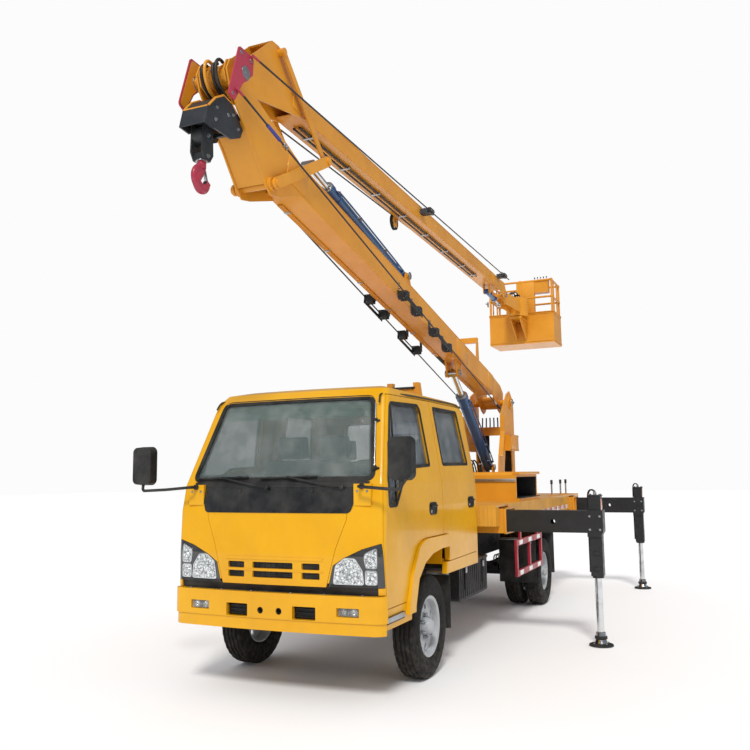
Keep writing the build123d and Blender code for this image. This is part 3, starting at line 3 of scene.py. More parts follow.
import bmesh
import bpy
from mathutils import Matrix, Vector
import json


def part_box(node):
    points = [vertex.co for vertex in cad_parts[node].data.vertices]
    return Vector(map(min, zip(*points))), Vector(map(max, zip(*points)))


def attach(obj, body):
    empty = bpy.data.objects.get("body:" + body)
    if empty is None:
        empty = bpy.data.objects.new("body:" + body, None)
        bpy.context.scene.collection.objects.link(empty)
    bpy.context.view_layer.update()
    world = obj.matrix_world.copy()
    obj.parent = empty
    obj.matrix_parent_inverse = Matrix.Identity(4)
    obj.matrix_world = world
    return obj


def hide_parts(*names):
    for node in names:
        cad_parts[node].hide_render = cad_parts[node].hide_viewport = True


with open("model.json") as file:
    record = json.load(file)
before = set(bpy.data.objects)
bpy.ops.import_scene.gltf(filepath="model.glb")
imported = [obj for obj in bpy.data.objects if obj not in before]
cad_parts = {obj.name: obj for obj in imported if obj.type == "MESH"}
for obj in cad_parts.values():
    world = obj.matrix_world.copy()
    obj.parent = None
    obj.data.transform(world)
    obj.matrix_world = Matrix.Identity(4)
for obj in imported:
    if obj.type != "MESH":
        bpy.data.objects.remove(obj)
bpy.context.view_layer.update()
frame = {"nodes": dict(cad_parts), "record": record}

# Metres, +X forward, +Y to the truck's left, +Z up, floor at Z = 0. Lengthwise places are counted from the
# front axle, as in the part's source.
FRONT_AXLE = sum(corner[0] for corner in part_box("front_tyre_left")) / 2
SIDES = (("left", 1), ("right", -1))


def at(x, y, z):
    """A place given from the front axle."""
    return Vector((FRONT_AXLE + x, y, z))


# ================================================================ materials
def colour(hexa):
    """An sRGB hex value as linear light."""
    channels = [int(hexa[i:i + 2], 16) / 255 for i in (0, 2, 4)]
    return [c / 12.92 if c <= 0.04045 else ((c + 0.055) / 1.055) ** 2.4 for c in channels] + [1.0]


def add_node(tree, kind, inputs=(), **settings):
    """Adds a shader node, sets it, and sets or links its inputs."""
    made = tree.nodes.new(kind)
    for name, value in settings.items():
        setattr(made, name, value)
    for name, value in dict(inputs).items():
        if isinstance(value, bpy.types.NodeSocket):
            tree.links.new(value, made.inputs[name])
        else:
            made.inputs[name].default_value = value
    return made


class Finish:
    """A material under construction: the Principled shader and the patterns that feed it."""

    def __init__(self, name, **shader):
        self.made = bpy.data.materials.new(name)
        self.made.use_nodes = True
        self.tree = self.made.node_tree
        self.base = self.tree.nodes["Principled BSDF"]
        for socket, value in shader.items():
            self.base.inputs[socket.replace("_", " ")].default_value = value
        self.place = add_node(self.tree, "ShaderNodeTexCoord").outputs["Object"]

    def noise(self, scale, detail=4.0, stretch=None):
        """Cloudy noise, scale in cells a metre, stretched along an axis where asked."""
        place = self.place
        if stretch:
            place = add_node(self.tree, "ShaderNodeMapping", {"Vector": place,
                                                              "Scale": stretch}).outputs["Vector"]
        return add_node(self.tree, "ShaderNodeTexNoise", {"Vector": place, "Scale": scale, "Detail": detail,
                                                          "Roughness": 0.6}).outputs["Fac"]

    def ramp(self, value, low, high, to_low=0.0, to_high=1.0):
        """A value mapped from one range to another, held at the ends."""
        return add_node(self.tree, "ShaderNodeMapRange", {"Value": value, "From Min": low, "From Max": high,
                                                          "To Min": to_low, "To Max": to_high}).outputs["Result"]

    def blend(self, mask, first, second):
        """Two colours, each a hex value or a socket, blended by a mask."""
        mixed = self.tree.nodes.new("ShaderNodeMix")
        mixed.data_type = "RGBA"
        self.tree.links.new(mask, mixed.inputs["Factor"])
        for socket, value in ((mixed.inputs[6], first), (mixed.inputs[7], second)):
            if isinstance(value, str):
                socket.default_value = colour(value)
            else:
                self.tree.links.new(value, socket)
        return mixed.outputs[2]

    def height(self):
        """Height above the ground."""
        return add_node(self.tree, "ShaderNodeSeparateXYZ", {"Vector": self.place}).outputs["Z"]

    def multiply(self, first, second):
        return add_node(self.tree, "ShaderNodeMath", {0: first, 1: second}, operation="MULTIPLY").outputs["Value"]

    def tint(self, value):
        self.tree.links.new(value, self.base.inputs["Base Color"])

    def gloss(self, value):
        self.tree.links.new(value, self.base.inputs["Roughness"])

    def relief(self, value, strength, distance):
        bump = add_node(self.tree, "ShaderNodeBump", {"Height": value, "Strength": strength,
                                                      "Distance": distance})
        self.tree.links.new(bump.outputs["Normal"], self.base.inputs["Normal"])


def enamel(name, hexa, deep, dust="8A744E", dust_amount=0.3, rough=0.28, coat=0.6):
    """Two-pack vehicle enamel on steel: a glossy coat with faint orange peel and road dust low down."""
    paint = Finish(name, IOR=1.5, Specular_IOR_Level=0.3, Coat_Weight=coat, Coat_Roughness=0.08)
    cloud = paint.noise(2.2, 6.0)
    shade = paint.blend(paint.ramp(cloud, 0.35, 0.75), hexa, deep)
    streaks = paint.ramp(paint.noise(9.0, 6.0, stretch=(1.0, 1.0, 0.12)), 0.5, 0.8, 0.0, dust_amount)
    low = paint.ramp(paint.height(), 0.3, 1.5, 1.0, 0.15)
    shade = paint.blend(paint.multiply(streaks, low), shade, dust)
    paint.tint(shade)
    paint.gloss(paint.ramp(paint.noise(14.0, 5.0), 0.35, 0.7, rough, rough + 0.14))
    paint.relief(paint.noise(420.0, 2.0), 0.06, 0.0006)
    return paint.made


def satin_black(name, hexa="202224", grey="3A3B3C", rough=0.42, grain=260.0, relief=0.12):
    """Chassis enamel brushed over rolled steel: uneven satin black with dry dust on it."""
    paint = Finish(name, IOR=1.5)
    shade = paint.blend(paint.ramp(paint.noise(5.0, 8.0), 0.45, 0.8, 0.0, 0.6), hexa, grey)
    paint.tint(shade)
    paint.gloss(paint.ramp(paint.noise(22.0, 4.0), 0.3, 0.7, rough - 0.08, rough + 0.2))
    paint.relief(paint.noise(grain, 3.0), relief, 0.0008)
    return paint.made


def moulded(name, hexa, rough=0.5, grain=900.0, relief=0.25, **shader):
    """Moulded black plastic or rubber with a fine spark-eroded grain."""
    plastic = Finish(name, **shader)
    plastic.tint(plastic.blend(plastic.ramp(plastic.noise(6.0, 6.0), 0.4, 0.9, 0.0, 0.35), hexa, "6E6A62"))
    plastic.gloss(plastic.ramp(plastic.noise(40.0, 3.0), 0.3, 0.7, rough, rough + 0.15))
    plastic.relief(plastic.noise(grain, 2.0), relief, 0.0004)
    return plastic.made


def bare_metal(name, hexa, rough=0.22, relief=0.05):
    """Plated or machined steel with fine lines and faint smears of oil."""
    metal = Finish(name, Metallic=1.0)
    metal.tint(metal.blend(metal.ramp(metal.noise(7.0, 5.0), 0.45, 0.8), hexa, "8C8F92"))
    lines = metal.noise(300.0, 2.0)
    metal.gloss(metal.ramp(lines, 0.3, 0.7, rough, rough + 0.12))
    metal.relief(lines, relief, 0.0003)
    return metal.made


def tyre_rubber():
    """Carbon-black tyre rubber, brown-grey with dried mud toward the ground and dust in the tread."""
    rubber = Finish("tyre_rubber", Specular_IOR_Level=0.3)
    shade = rubber.blend(rubber.ramp(rubber.noise(7.0, 8.0), 0.4, 0.75), "0E0E0F", "232220")
    low = rubber.ramp(rubber.height(), 0.0, 0.5, 0.6, 0.08)
    shade = rubber.blend(rubber.multiply(rubber.ramp(rubber.noise(26.0, 8.0), 0.4, 0.7), low), shade, "5E564A")
    rubber.tint(shade)
    rubber.gloss(rubber.ramp(rubber.noise(60.0), 0.3, 0.7, 0.68, 0.92))
    rubber.relief(rubber.noise(500.0, 3.0), 0.25, 0.0008)
    return rubber.made


def window_glass(name, hexa, see):
    """Toughened green-grey float glass with a thin film of dust in patches."""
    glass = Finish(name, Roughness=0.03, IOR=1.52, Coat_Weight=0.4, Alpha=see)
    film = glass.ramp(glass.noise(5.0, 7.0), 0.45, 0.85, 0.0, 0.5)
    glass.tint(glass.blend(film, hexa, "C9CCC8"))
    glass.gloss(glass.ramp(glass.noise(18.0, 5.0), 0.5, 0.8, 0.02, 0.14))
    return glass.made


def retroreflector(name, hexa):
    """Glass-bead or prism reflector behind a clear skin: a honeycomb of small cells."""
    film = Finish(name, Coat_Weight=0.8, Coat_Roughness=0.1)
    cells = add_node(film.tree, "ShaderNodeTexVoronoi", {"Vector": film.place, "Scale": 260.0},
                     feature="DISTANCE_TO_EDGE").outputs["Distance"]
    film.tint(film.blend(film.ramp(cells, 0.0, 0.12), "E8E6E0", hexa))
    film.gloss(film.ramp(film.noise(30.0), 0.3, 0.7, 0.22, 0.37))
    film.relief(cells, 0.15, 0.0005)
    return film.made


def fluted_lens():
    """Clear fluted lamp glass over a plated bowl: painted highlights on the flutes, and painted shade in the dark
    lines between them.
    """
    lens = Finish("fluted_lens", Metallic=0.35, Roughness=0.12, Coat_Weight=1.0)
    cells = add_node(lens.tree, "ShaderNodeTexVoronoi", {"Vector": lens.place, "Scale": 46.0}).outputs["Color"]
    lines = add_node(lens.tree, "ShaderNodeTexVoronoi", {"Vector": lens.place, "Scale": 46.0},
                     feature="DISTANCE_TO_EDGE").outputs["Distance"]
    # painted highlight: brighter and duller patches stand for the bowl's glints seen through the flutes
    bright = lens.blend(lens.ramp(lens.noise(60.0, 3.0), 0.4, 0.62), "ECEFF0", "8F9698")
    # painted shade: dark lines between the flutes
    lens.tint(lens.blend(lens.ramp(lines, 0.0, 0.1), "3A3E40", bright))
    lens.relief(cells, 0.4, 0.004)
    return lens.made


def woven(name, hexa, second):
    """Grey seat cloth: a plain weave of two yarns, slightly faded in patches."""
    cloth = Finish(name, Roughness=0.9, Sheen_Weight=0.3)
    warp = add_node(cloth.tree, "ShaderNodeTexWave", {"Vector": cloth.place, "Scale": 320.0, "Distortion": 1.2,
                                                      "Detail": 2.0}, bands_direction="Y").outputs["Fac"]
    weft = add_node(cloth.tree, "ShaderNodeTexWave", {"Vector": cloth.place, "Scale": 320.0, "Distortion": 1.2,
                                                      "Detail": 2.0}, bands_direction="X").outputs["Fac"]
    weave = cloth.multiply(warp, weft)
    shade = cloth.blend(cloth.ramp(weave, 0.1, 0.8), hexa, second)
    cloth.tint(cloth.blend(cloth.ramp(cloth.noise(6.0), 0.4, 0.8, 0.0, 0.4), shade, "8B8981"))
    cloth.relief(weave, 0.5, 0.0008)
    return cloth.made


def laid_rope():
    """Steel levelling rope in a blue-black sheath: its strands show as slanting ridges, with painted shade
    darkening the grooves between them.
    """
    rope = Finish("laid_rope", Roughness=0.5)
    twist = add_node(rope.tree, "ShaderNodeTexWave", {"Vector": rope.place, "Scale": 45.0, "Distortion": 0.4},
                     bands_direction="DIAGONAL").outputs["Fac"]
    # painted shade: the colour follows the twist, darker in the grooves and lighter on the ridges
    rope.tint(rope.blend(rope.ramp(twist, 0.2, 0.9), "12151D", "343B4A"))
    rope.relief(twist, 0.6, 0.002)
    return rope.made


def tread_plate():
    """Tread plate of the deck under yellow enamel: raised lozenges at two slants, worn where boots go."""
    plate = Finish("deck_tread_plate", Coat_Weight=0.3)
    bars = []
    for slant in (math.radians(45), math.radians(-45)):
        turned = add_node(plate.tree, "ShaderNodeMapping", {"Vector": plate.place, "Rotation": (0, 0, slant)})
        bars.append(add_node(plate.tree, "ShaderNodeTexWave", {"Vector": turned.outputs["Vector"], "Scale": 11.0},
                             bands_direction="X").outputs["Fac"])
    lozenge = plate.ramp(plate.multiply(*bars), 0.45, 0.7)
    worn = plate.multiply(lozenge, plate.ramp(plate.noise(4.0, 6.0), 0.5, 0.62))
    shade = plate.blend(plate.ramp(plate.noise(3.0, 7.0), 0.4, 0.75, 0.0, 0.5), "D79A2E", "8F6A34")
    plate.tint(plate.blend(worn, shade, "8D8B86"))
    plate.gloss(plate.ramp(plate.noise(20.0), 0.3, 0.7, 0.4, 0.65))
    plate.relief(lozenge, 0.6, 0.0025)
    return plate.made


CAB_YELLOW = enamel("cab_enamel", "DFA404", "D39703", dust_amount=0.12, coat=0.25)
BOOM_YELLOW = enamel("boom_enamel", "DC9628", "CC861E", dust="7C5A2C", dust_amount=0.3, rough=0.36, coat=0.3)
BLUE = enamel("cylinder_enamel", "0F4C82", "0C3C68", dust="3C5A74", rough=0.3)
SLEEVE = moulded("blue_sleeve", "2A3A9A", rough=0.4, grain=300.0)
RED = enamel("plate_enamel", "B0344A", "98283E", dust="6E4A44", rough=0.34, coat=0.4)
GUARD_RED = enamel("guard_enamel", "A81F30", "8C1A2A", dust="6E5A4A", dust_amount=0.5, rough=0.4, coat=0.2)
BLACK = satin_black("satin_black")
CHASSIS = satin_black("chassis_black", "17181A", "34322F", rough=0.55)
BEAM_BLACK = satin_black("beam_black", "191B1D", "2C2D2F", rough=0.36)
SLATE = satin_black("slate_black", "26292E", "3B4048", rough=0.34)
IRON = satin_black("cast_iron", "2A2826", "4A4540", rough=0.65, grain=120.0, relief=0.4)
PLASTIC = moulded("moulded_plastic", "141516")
RUBBER = moulded("seal_rubber", "0E0F10", rough=0.62, grain=500.0)
HOSE = moulded("hose_rubber", "101113", rough=0.45, grain=300.0)
GARNISH = moulded("garnish_black", "0B0C0E", rough=0.07, grain=200.0, relief=0.01, Coat_Weight=1.0)
DASH_GREY = moulded("dash_plastic", "4A4C4E", rough=0.6, grain=500.0)
SILVER = enamel("wheel_silver", "B4B7BA", "9DA0A4", dust="7D7568", dust_amount=0.6, rough=0.34, coat=0.3)
CHROME = bare_metal("hard_chrome", "DADCDE", rough=0.1)
ZINC = bare_metal("zinc_plate", "B8BABC", rough=0.3, relief=0.1)
MIRROR = bare_metal("mirror_glass", "E4E6E8", rough=0.03, relief=0.0)
RUBBER_TYRE = tyre_rubber()
SCREEN = window_glass("screen_glass", "6F7C7A", 0.38)
SIDE_GLASS = window_glass("side_glass", "5E6A72", 0.55)
LAMP_SHELL = moulded("smoked_lamp_shell", "1C1E20", rough=0.08, grain=200.0, relief=0.01, Coat_Weight=1.0)
FLUTED = fluted_lens()
LENS = window_glass("lamp_lens", "DCE3E4", 0.12)
AMBER = retroreflector("amber_lens", "E0720E")
RED_REFLECTOR = retroreflector("red_reflector", "C21E1E")
WHITE_REFLECTOR = retroreflector("white_reflector", "DDDDD8")
CLOTH = woven("seat_cloth", "4C4E50", "6A6B6A")
ROPE = laid_rope()
TREAD = tread_plate()

BY_SLOT = {"yellow": CAB_YELLOW, "boom_yellow": BOOM_YELLOW, "black": BLACK, "chassis_black": CHASSIS,
           "tyre": RUBBER_TYRE, "steel": SILVER, "chrome": CHROME, "blue": BLUE, "red": RED, "glass": SCREEN,
           "interior": DASH_GREY, "rope": ROPE, "iron": IRON, "guard": GUARD_RED, "mirror": PLASTIC, "lens": LENS}
BY_NODE = {"deck": TREAD, "fuel_tank": BLACK, "battery_box": PLASTIC, "sheave_box": SLATE,
           "headlamps": LAMP_SHELL}
for row in frame["record"]["subparts"]:
    cad = frame["nodes"][row["node"]]
    cad.data.materials.clear()
    cad.data.materials.append(BY_NODE.get(row["node"], BEAM_BLACK
                                          if "beam" in row["node"] else BY_SLOT[row["material_slot"]]))


# ================================================================ forms
class Shape:
    """One piece being built: forms are added to its mesh one by one, each with its own look."""

    def __init__(self, name, body, *looks):
        self.name, self.body, self.looks = name, body, looks
        self.mesh = bmesh.new()

    def take(self, form, look=0, bevel=0.0, smooth=False):
        """Rounds a form's sharp edges and moves it into the piece."""
        if bevel:
            form.normal_update()
            sharp = [e for e in form.edges if len(e.link_faces) == 2 and e.calc_face_angle() > 0.6]
            bmesh.ops.bevel(form, geom=sharp, offset=bevel, segments=2, affect="EDGES", profile=0.5, material=-1)
        for face in form.faces:
            face.material_index = look
            face.smooth = smooth
        data = bpy.data.meshes.new("form")
        form.to_mesh(data)
        form.free()
        self.mesh.from_mesh(data)
        bpy.data.meshes.remove(data)
        return self

    def block(self, centre, size, look=0, bevel=0.003, turn=None):
        """A box with rounded edges."""
        form = bmesh.new()
        bmesh.ops.create_cube(form, size=1.0)
        turned = turn.to_4x4() if turn else Matrix()
        bmesh.ops.transform(form, matrix=Matrix.Translation(centre) @ turned @ Matrix.Diagonal((*size, 1)),
                            verts=form.verts)
        return self.take(form, look, bevel)

    def drum(self, start, end, radius, look=0, bevel=0.0, tip=None, sides=24):
        """A round bar between two points, tapered where tip gives its far radius."""
        run = Vector(end) - Vector(start)
        form = bmesh.new()
        bmesh.ops.create_cone(form, cap_ends=True, segments=sides, radius1=radius,
                              radius2=radius if tip is None else tip, depth=run.length)
        turned = run.to_track_quat("Z", "Y").to_matrix().to_4x4()
        bmesh.ops.transform(form, matrix=Matrix.Translation((Vector(start) + Vector(end)) / 2) @ turned,
                            verts=form.verts)
        return self.take(form, look, bevel, smooth=sides > 8)

    def lathe(self, centre, axis, profile, look=0, sides=48):
        """A profile of (radius, height) points turned about an axis."""
        form = bmesh.new()
        ring = [form.verts.new((radius, 0, up)) for radius, up in profile]
        edges = [form.edges.new(pair) for pair in zip(ring, ring[1:])]
        bmesh.ops.spin(form, geom=ring + edges, axis=(0, 0, 1), cent=(0, 0, 0), steps=sides, angle=math.tau,
                       use_merge=True)
        bmesh.ops.remove_doubles(form, verts=form.verts, dist=1e-6)
        bmesh.ops.recalc_face_normals(form, faces=form.faces)
        turned = Vector(axis).to_track_quat("Z", "Y").to_matrix().to_4x4()
        bmesh.ops.transform(form, matrix=Matrix.Translation(centre) @ turned, verts=form.verts)
        return self.take(form, look, smooth=True)

    def plate(self, outline, plane, low, high, look=0, bevel=0.0):
        """An outline in the XZ, YZ or XY plane, given thickness along the third axis."""
        order = {"XZ": (0, 2, 1), "YZ": (1, 2, 0), "XY": (0, 1, 2)}[plane]
        form = bmesh.new()
        corners = []
        for first, second in outline:
            place = [0.0, 0.0, 0.0]
            place[order[0]], place[order[1]], place[order[2]] = first, second, low
            corners.append(form.verts.new(place))
        face = form.faces.new(corners)
        grown = bmesh.ops.extrude_face_region(form, geom=[face])["geom"]
        step = [0.0, 0.0, 0.0]
        step[order[2]] = high - low
        bmesh.ops.translate(form, vec=step, verts=[g for g in grown if isinstance(g, bmesh.types.BMVert)])
        bmesh.ops.recalc_face_normals(form, faces=form.faces)
        return self.take(form, look, bevel)

    def pipe(self, points, radius, look=0, closed=False):
        """A hose, cable or bent tube along a smooth line through its control points."""
        line = bpy.data.curves.new("pipe", "CURVE")
        line.dimensions = "3D"
        line.bevel_depth = radius
        line.bevel_resolution = 3
        line.use_fill_caps = True
        run = line.splines.new("NURBS")
        run.points.add(len(points) - 1)
        for slot, place in zip(run.points, points):
            slot.co = (*place, 1.0)
        run.use_cyclic_u = closed
        run.order_u = 3
        run.use_endpoint_u = not closed
        run.resolution_u = 6
        carrier = bpy.data.objects.new("pipe", line)
        data = bpy.data.meshes.new_from_object(carrier)
        form = bmesh.new()
        form.from_mesh(data)
        bpy.data.objects.remove(carrier)
        bpy.data.curves.remove(line)
        bpy.data.meshes.remove(data)
        return self.take(form, look, smooth=True)

    def bolt(self, place, axis, size=0.012, look=0):
        """A hexagon head on a washer, size across the head."""
        way = Vector(axis).normalized()
        start = Vector(place)
        self.drum(start, start + way * size * 0.16, size * 0.85, look, sides=16)
        return self.drum(start + way * size * 0.16, start + way * size * 0.75, size * 0.58, look, sides=6)

    def bolt_ring(self, centre, axis, count, radius, size, look=0, start=0.0):
        """Bolts evenly round a circle that is level, or upright where their axis lies across the truck."""
        for a, b in spokes(count, radius, start):
            self.bolt(Vector(centre) + Vector((a, 0, b) if axis[1] else (a, b, 0)), axis, size, look)

    def disc(self, centre, side, thickness, radius, look=0, bevel=0.002, sides=24):
        """A flat round keeper that stands out sideways from a face."""
        return self.drum(centre, centre + Vector((0, side * thickness, 0)), radius, look, bevel, sides=sides)

    def skin(self, outline, on, thickness, look=0, hole=None):
        """A panel on a curved skin: its outline, or the band between it and a hole, set there by on."""
        form = bmesh.new()
        outer = [form.verts.new(on(*p)) for p in outline]
        if hole:
            inner = [form.verts.new(on(*p)) for p in hole]
            for i in range(len(outer)):
                j = (i + 1) % len(outer)
                form.faces.new((outer[i], outer[j], inner[j], inner[i]))
        else:
            form.faces.new(outer)
            bmesh.ops.triangulate(form, faces=form.faces)
        bmesh.ops.recalc_face_normals(form, faces=form.faces)
        bmesh.ops.solidify(form, geom=form.faces[:], thickness=thickness)
        return self.take(form, look)

    def place(self, slot=None, replaces=(), flat_below=0.7):
        """Makes the object, on the body that carries it."""
        data = bpy.data.meshes.new(self.name)
        self.mesh.to_mesh(data)
        self.mesh.free()
        made = bpy.data.objects.new(self.name, data)
        for look in self.looks:
            data.materials.append(look)
        bpy.context.collection.objects.link(made)
        data.set_sharp_from_angle(angle=flat_below)
        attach(made, self.body)
        if replaces:
            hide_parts(*replaces)
        return made


# ---------------------------------------------------------------- outlines
def rounded(outline, radius):
    """An outline of (a, b) points with its corners rounded."""
    outline, made, steps = [Vector(p) for p in outline], [], 5
    count = len(outline)
    for i in range(count):
        here = outline[i]
        before, after = outline[i - 1] - here, outline[(i + 1) % count] - here
        reach = min(radius, before.length * 0.45, after.length * 0.45)
        start, end = here + before.normalized() * reach, here + after.normalized() * reach
        for k in range(steps + 1):
            t = k / steps
            made.append(start * (1 - t) ** 2 + here * 2 * t * (1 - t) + end * t ** 2)
    return made


def oblong(a, b, half_a, half_b):
    """The corners of an oblong about a middle point."""
    return [(a - half_a, b - half_b), (a + half_a, b - half_b), (a + half_a, b + half_b),
            (a - half_a, b + half_b)]


def trapeze(low_half, low, high_half, high):
    """Corners of an outline that is the same on both sides of the middle line."""
    return [(-low_half, low), (low_half, low), (high_half, high), (-high_half, high)]


def flat_ring(inner, outer, height):
    """Profile of a flat ring for the lathe."""
    return [(inner, 0.0), (outer, 0.0), (outer, height), (inner, height)]


def spokes(count, radius, start=0.0):
    """Offsets to points evenly round a circle, the first one part of a step on."""
    return [(math.cos(math.tau * (k + start) / count) * radius, math.sin(math.tau * (k + start) / count) * radius)
            for k in range(count)]


def divided(outline, step):
    """An outline with points added along its long stretches."""
    made = []
    for i, here in enumerate(outline):
        after = outline[(i + 1) % len(outline)]
        parts = max(1, math.ceil((after - here).length / step))
        made += [here.lerp(after, k / parts) for k in range(parts)]
    return made


def grown(outline, amount):
    """An outline moved outward by an amount, or inward where it is negative."""
    turn = sum(outline[i - 1].x * p.y - p.x * outline[i - 1].y for i, p in enumerate(outline))
    sign = 1 if turn > 0 else -1
    made = []
    for i, here in enumerate(outline):
        run = (outline[(i + 1) % len(outline)] - outline[i - 1]).normalized()
        made.append(here + Vector((run.y, -run.x)) * sign * amount)
    return made


# ---------------------------------------------------------------- the cab's skin
# Level sections: height, front at the middle, rear, half width, as in the part's source.
CAB_SECTIONS = [(0.505, 0.955, -1.3, 0.838), (0.76, 0.982, -1.318, 0.85), (1.0, 0.985, -1.32, 0.85),
                (1.3, 0.968, -1.32, 0.85), (1.49, 0.932, -1.32, 0.842), (2.13, 0.645, -1.27, 0.745),
                (2.205, 0.548, -1.215, 0.712), (2.24, 0.38, -1.08, 0.6)]
CAB_BOW, CAB_CORNER = 0.04, 0.05


def section(z):
    """Front, rear and half width of the cab at a height."""
    for low, high in zip(CAB_SECTIONS, CAB_SECTIONS[1:]):
        if z <= high[0]:
            part = max(0.0, (z - low[0]) / (high[0] - low[0]))
            return [a + (b - a) * part for a, b in zip(low[1:], high[1:])]
    return CAB_SECTIONS[-1][1:]


def on_front(lift=0.0):
    """Places (y, z) points on the cab's front skin, lifted off it."""
    def spot(y, z):
        tip, _, half = section(z)
        flat = half - CAB_CORNER
        turn = math.asin(min(1.0, max(0.0, (abs(y) - flat) / CAB_CORNER)))
        bow = CAB_BOW * min(1.0, abs(y) / flat) ** 2
        x = tip - bow - CAB_CORNER * (1 - math.cos(turn)) + lift * math.cos(turn)
        return at(x, y + math.copysign(lift * math.sin(turn), y), z)
    return spot


def on_side(side, lift=0.0):
    """Places (x, z) points on the cab's side skin, lifted off it."""
    def spot(x, z):
        tip, _, half = section(z)
        centre = tip - CAB_BOW - CAB_CORNER
        turn = math.asin(min(1.0, max(0.0, (x - centre) / CAB_CORNER)))
        y = half - CAB_CORNER * (1 - math.cos(turn)) + lift
        return at(x, side * y, z)
    return spot


def on_rear(lift=0.0):
    def spot(y, z):
        return at(section(z)[1] - lift, y, z)
    return spot


def skin_outline(points, radius=0.0, step=0.06):
    return divided(rounded(points, radius) if radius else [Vector(p) for p in points], step)


# ================================================================ cab front
WINDSCREEN = trapeze(0.755, 1.525, 0.648, 2.135)
REAR_GLASS = trapeze(0.52, 1.62, 0.48, 2.06)
GARNISH_OUTLINE = trapeze(0.665, 1.478, 0.6, 1.292)
GRILLE_ROWS = ((0.835, 0.88), (0.9, 0.945))
GRILLE_SLOTS = ((-0.375, -0.235), (-0.165, 0.165), (0.235, 0.375))
PANEL_DEPTH = 0.022


def windscreen_trim():
    """Rubber seals round the front and rear glass, and the tinted band along the top of the windscreen."""
    seals = Shape("glass_seals", "chassis", RUBBER)
    line = skin_outline(WINDSCREEN, 0.06)
    seals.skin(grown(line, 0.012), on_front(0.0035), 0.006, hole=grown(line, -0.022))
    line = skin_outline(REAR_GLASS, 0.05)
    seals.skin(grown(line, 0.014), on_rear(0.004), 0.006, hole=grown(line, -0.012))
    seals.place(slot="black")
    band = Shape("tinted_band", "chassis", window_glass("tinted_glass", "2F6B52", 0.5))
    band.skin(skin_outline(trapeze(0.672, 1.985, 0.65, 2.12), 0.03), on_front(-0.0165), 0.001)
    band.place(slot="glass")
    frit = Shape("windscreen_frit", "chassis", GARNISH)
    line = skin_outline(WINDSCREEN, 0.06)
    frit.skin(grown(line, -0.004), on_front(-0.0162), 0.0008, hole=grown(line, -0.042))
    frit.place(slot="black")


def front_garnish():
    """The black gloss band under the windscreen, left bare, with its cowl, washer jets and grille inserts."""
    band = Shape("front_garnish", "chassis", GARNISH, PLASTIC)
    band.skin(skin_outline(GARNISH_OUTLINE, 0.03), on_front(0.004), 0.006)
    band.skin(skin_outline(trapeze(0.735, 1.512, 0.7, 1.474), 0.01), on_front(0.007), 0.007, look=1)
    for y in (-0.3, 0.3):
        spot = on_front(0.006)(y, 1.45)
        band.lathe(spot, (0.8, 0, 0.6), [(0, 0.014), (0.006, 0.013), (0.011, 0.006), (0.014, 0)], look=1,
                   sides=16)
    band.place(slot="black")
    inserts = Shape("grille_inserts", "chassis", PLASTIC)
    for low, high in GRILLE_ROWS:
        for y_from, y_to in GRILLE_SLOTS:
            cell = [(y_from, low), (y_to, low), (y_to, high), (y_from, high)]
            inserts.skin(grown(skin_outline(cell, 0.008), -0.001), on_front(-PANEL_DEPTH + 0.002), 0.0015)
            for k in (1, 2):
                z = low + (high - low) * k / 3
                middle = on_front(-PANEL_DEPTH + 0.006)((y_from + y_to) / 2, z)
                inserts.block(middle, (0.006, y_to - y_from - 0.006, 0.004), bevel=0.001)
            posts = max(2, round((y_to - y_from) / 0.05))
            for k in range(1, posts):
                y = y_from + (y_to - y_from) * k / posts
                inserts.block(on_front(-PANEL_DEPTH + 0.005)(y, (low + high) / 2),
                              (0.005, 0.003, high - low - 0.004), bevel=0.0008)
    inserts.place(slot="black")
    # the body-coloured fold above the grille, and the bar between its two rows
    fold = Shape("panel_fold", "chassis", CAB_YELLOW)
    fold.skin(skin_outline(trapeze(0.395, 0.962, 0.405, 0.982), 0.006), on_front(0.005), 0.006)
    fold.skin(skin_outline(trapeze(0.4, 0.884, 0.4, 0.896), 0.003), on_front(0.004), 0.004)
    fold.place(slot="yellow")


def headlamp(name, side):
    """The face of one headlamp: a main beam lens, two small outer lenses, their bezels and the dark filler."""
    lamp = Shape(f"headlamp_{name}", "chassis", FLUTED, PLASTIC, CHROME)
    cells = (((0.482, 0.815), (0.5, 0.935), (0.566, 0.985), (0.64, 0.982), (0.692, 0.905), (0.7, 0.815)),
             ((0.722, 0.925), (0.712, 0.975), (0.712, 1.018), (0.796, 1.056), (0.796, 0.925)),
             ((0.718, 0.817), (0.718, 0.905), (0.796, 0.905), (0.796, 0.817)))
    for cell in cells:
        outline = skin_outline([(side * y, z) for y, z in cell], 0.014, 0.04)
        lamp.skin(outline, on_front(0.003), 0.002)
        lamp.skin(grown(outline, 0.005), on_front(0.0042), 0.004, look=2, hole=grown(outline, -0.001))
    for y, z, radius in ((0.596, 0.89, 0.048), (0.755, 0.975, 0.024), (0.755, 0.86, 0.024)):
        lamp.lathe(on_front(0.0032)(side * y, z), (1, side * 0.1, 0),
                   [(radius, 0.0), (radius - 0.002, 0.002), (radius - 0.006, 0.0012), (0.0, 0.0035)], sides=40)
    filler = [(0.456, 0.795), (0.8, 0.795), (0.8, 0.809), (0.456, 0.809)]
    lamp.skin(skin_outline([(side * y, z) for y, z in filler], 0.003, 0.04), on_front(0.004), 0.006, look=1)
    lamp.place(slot="lens")


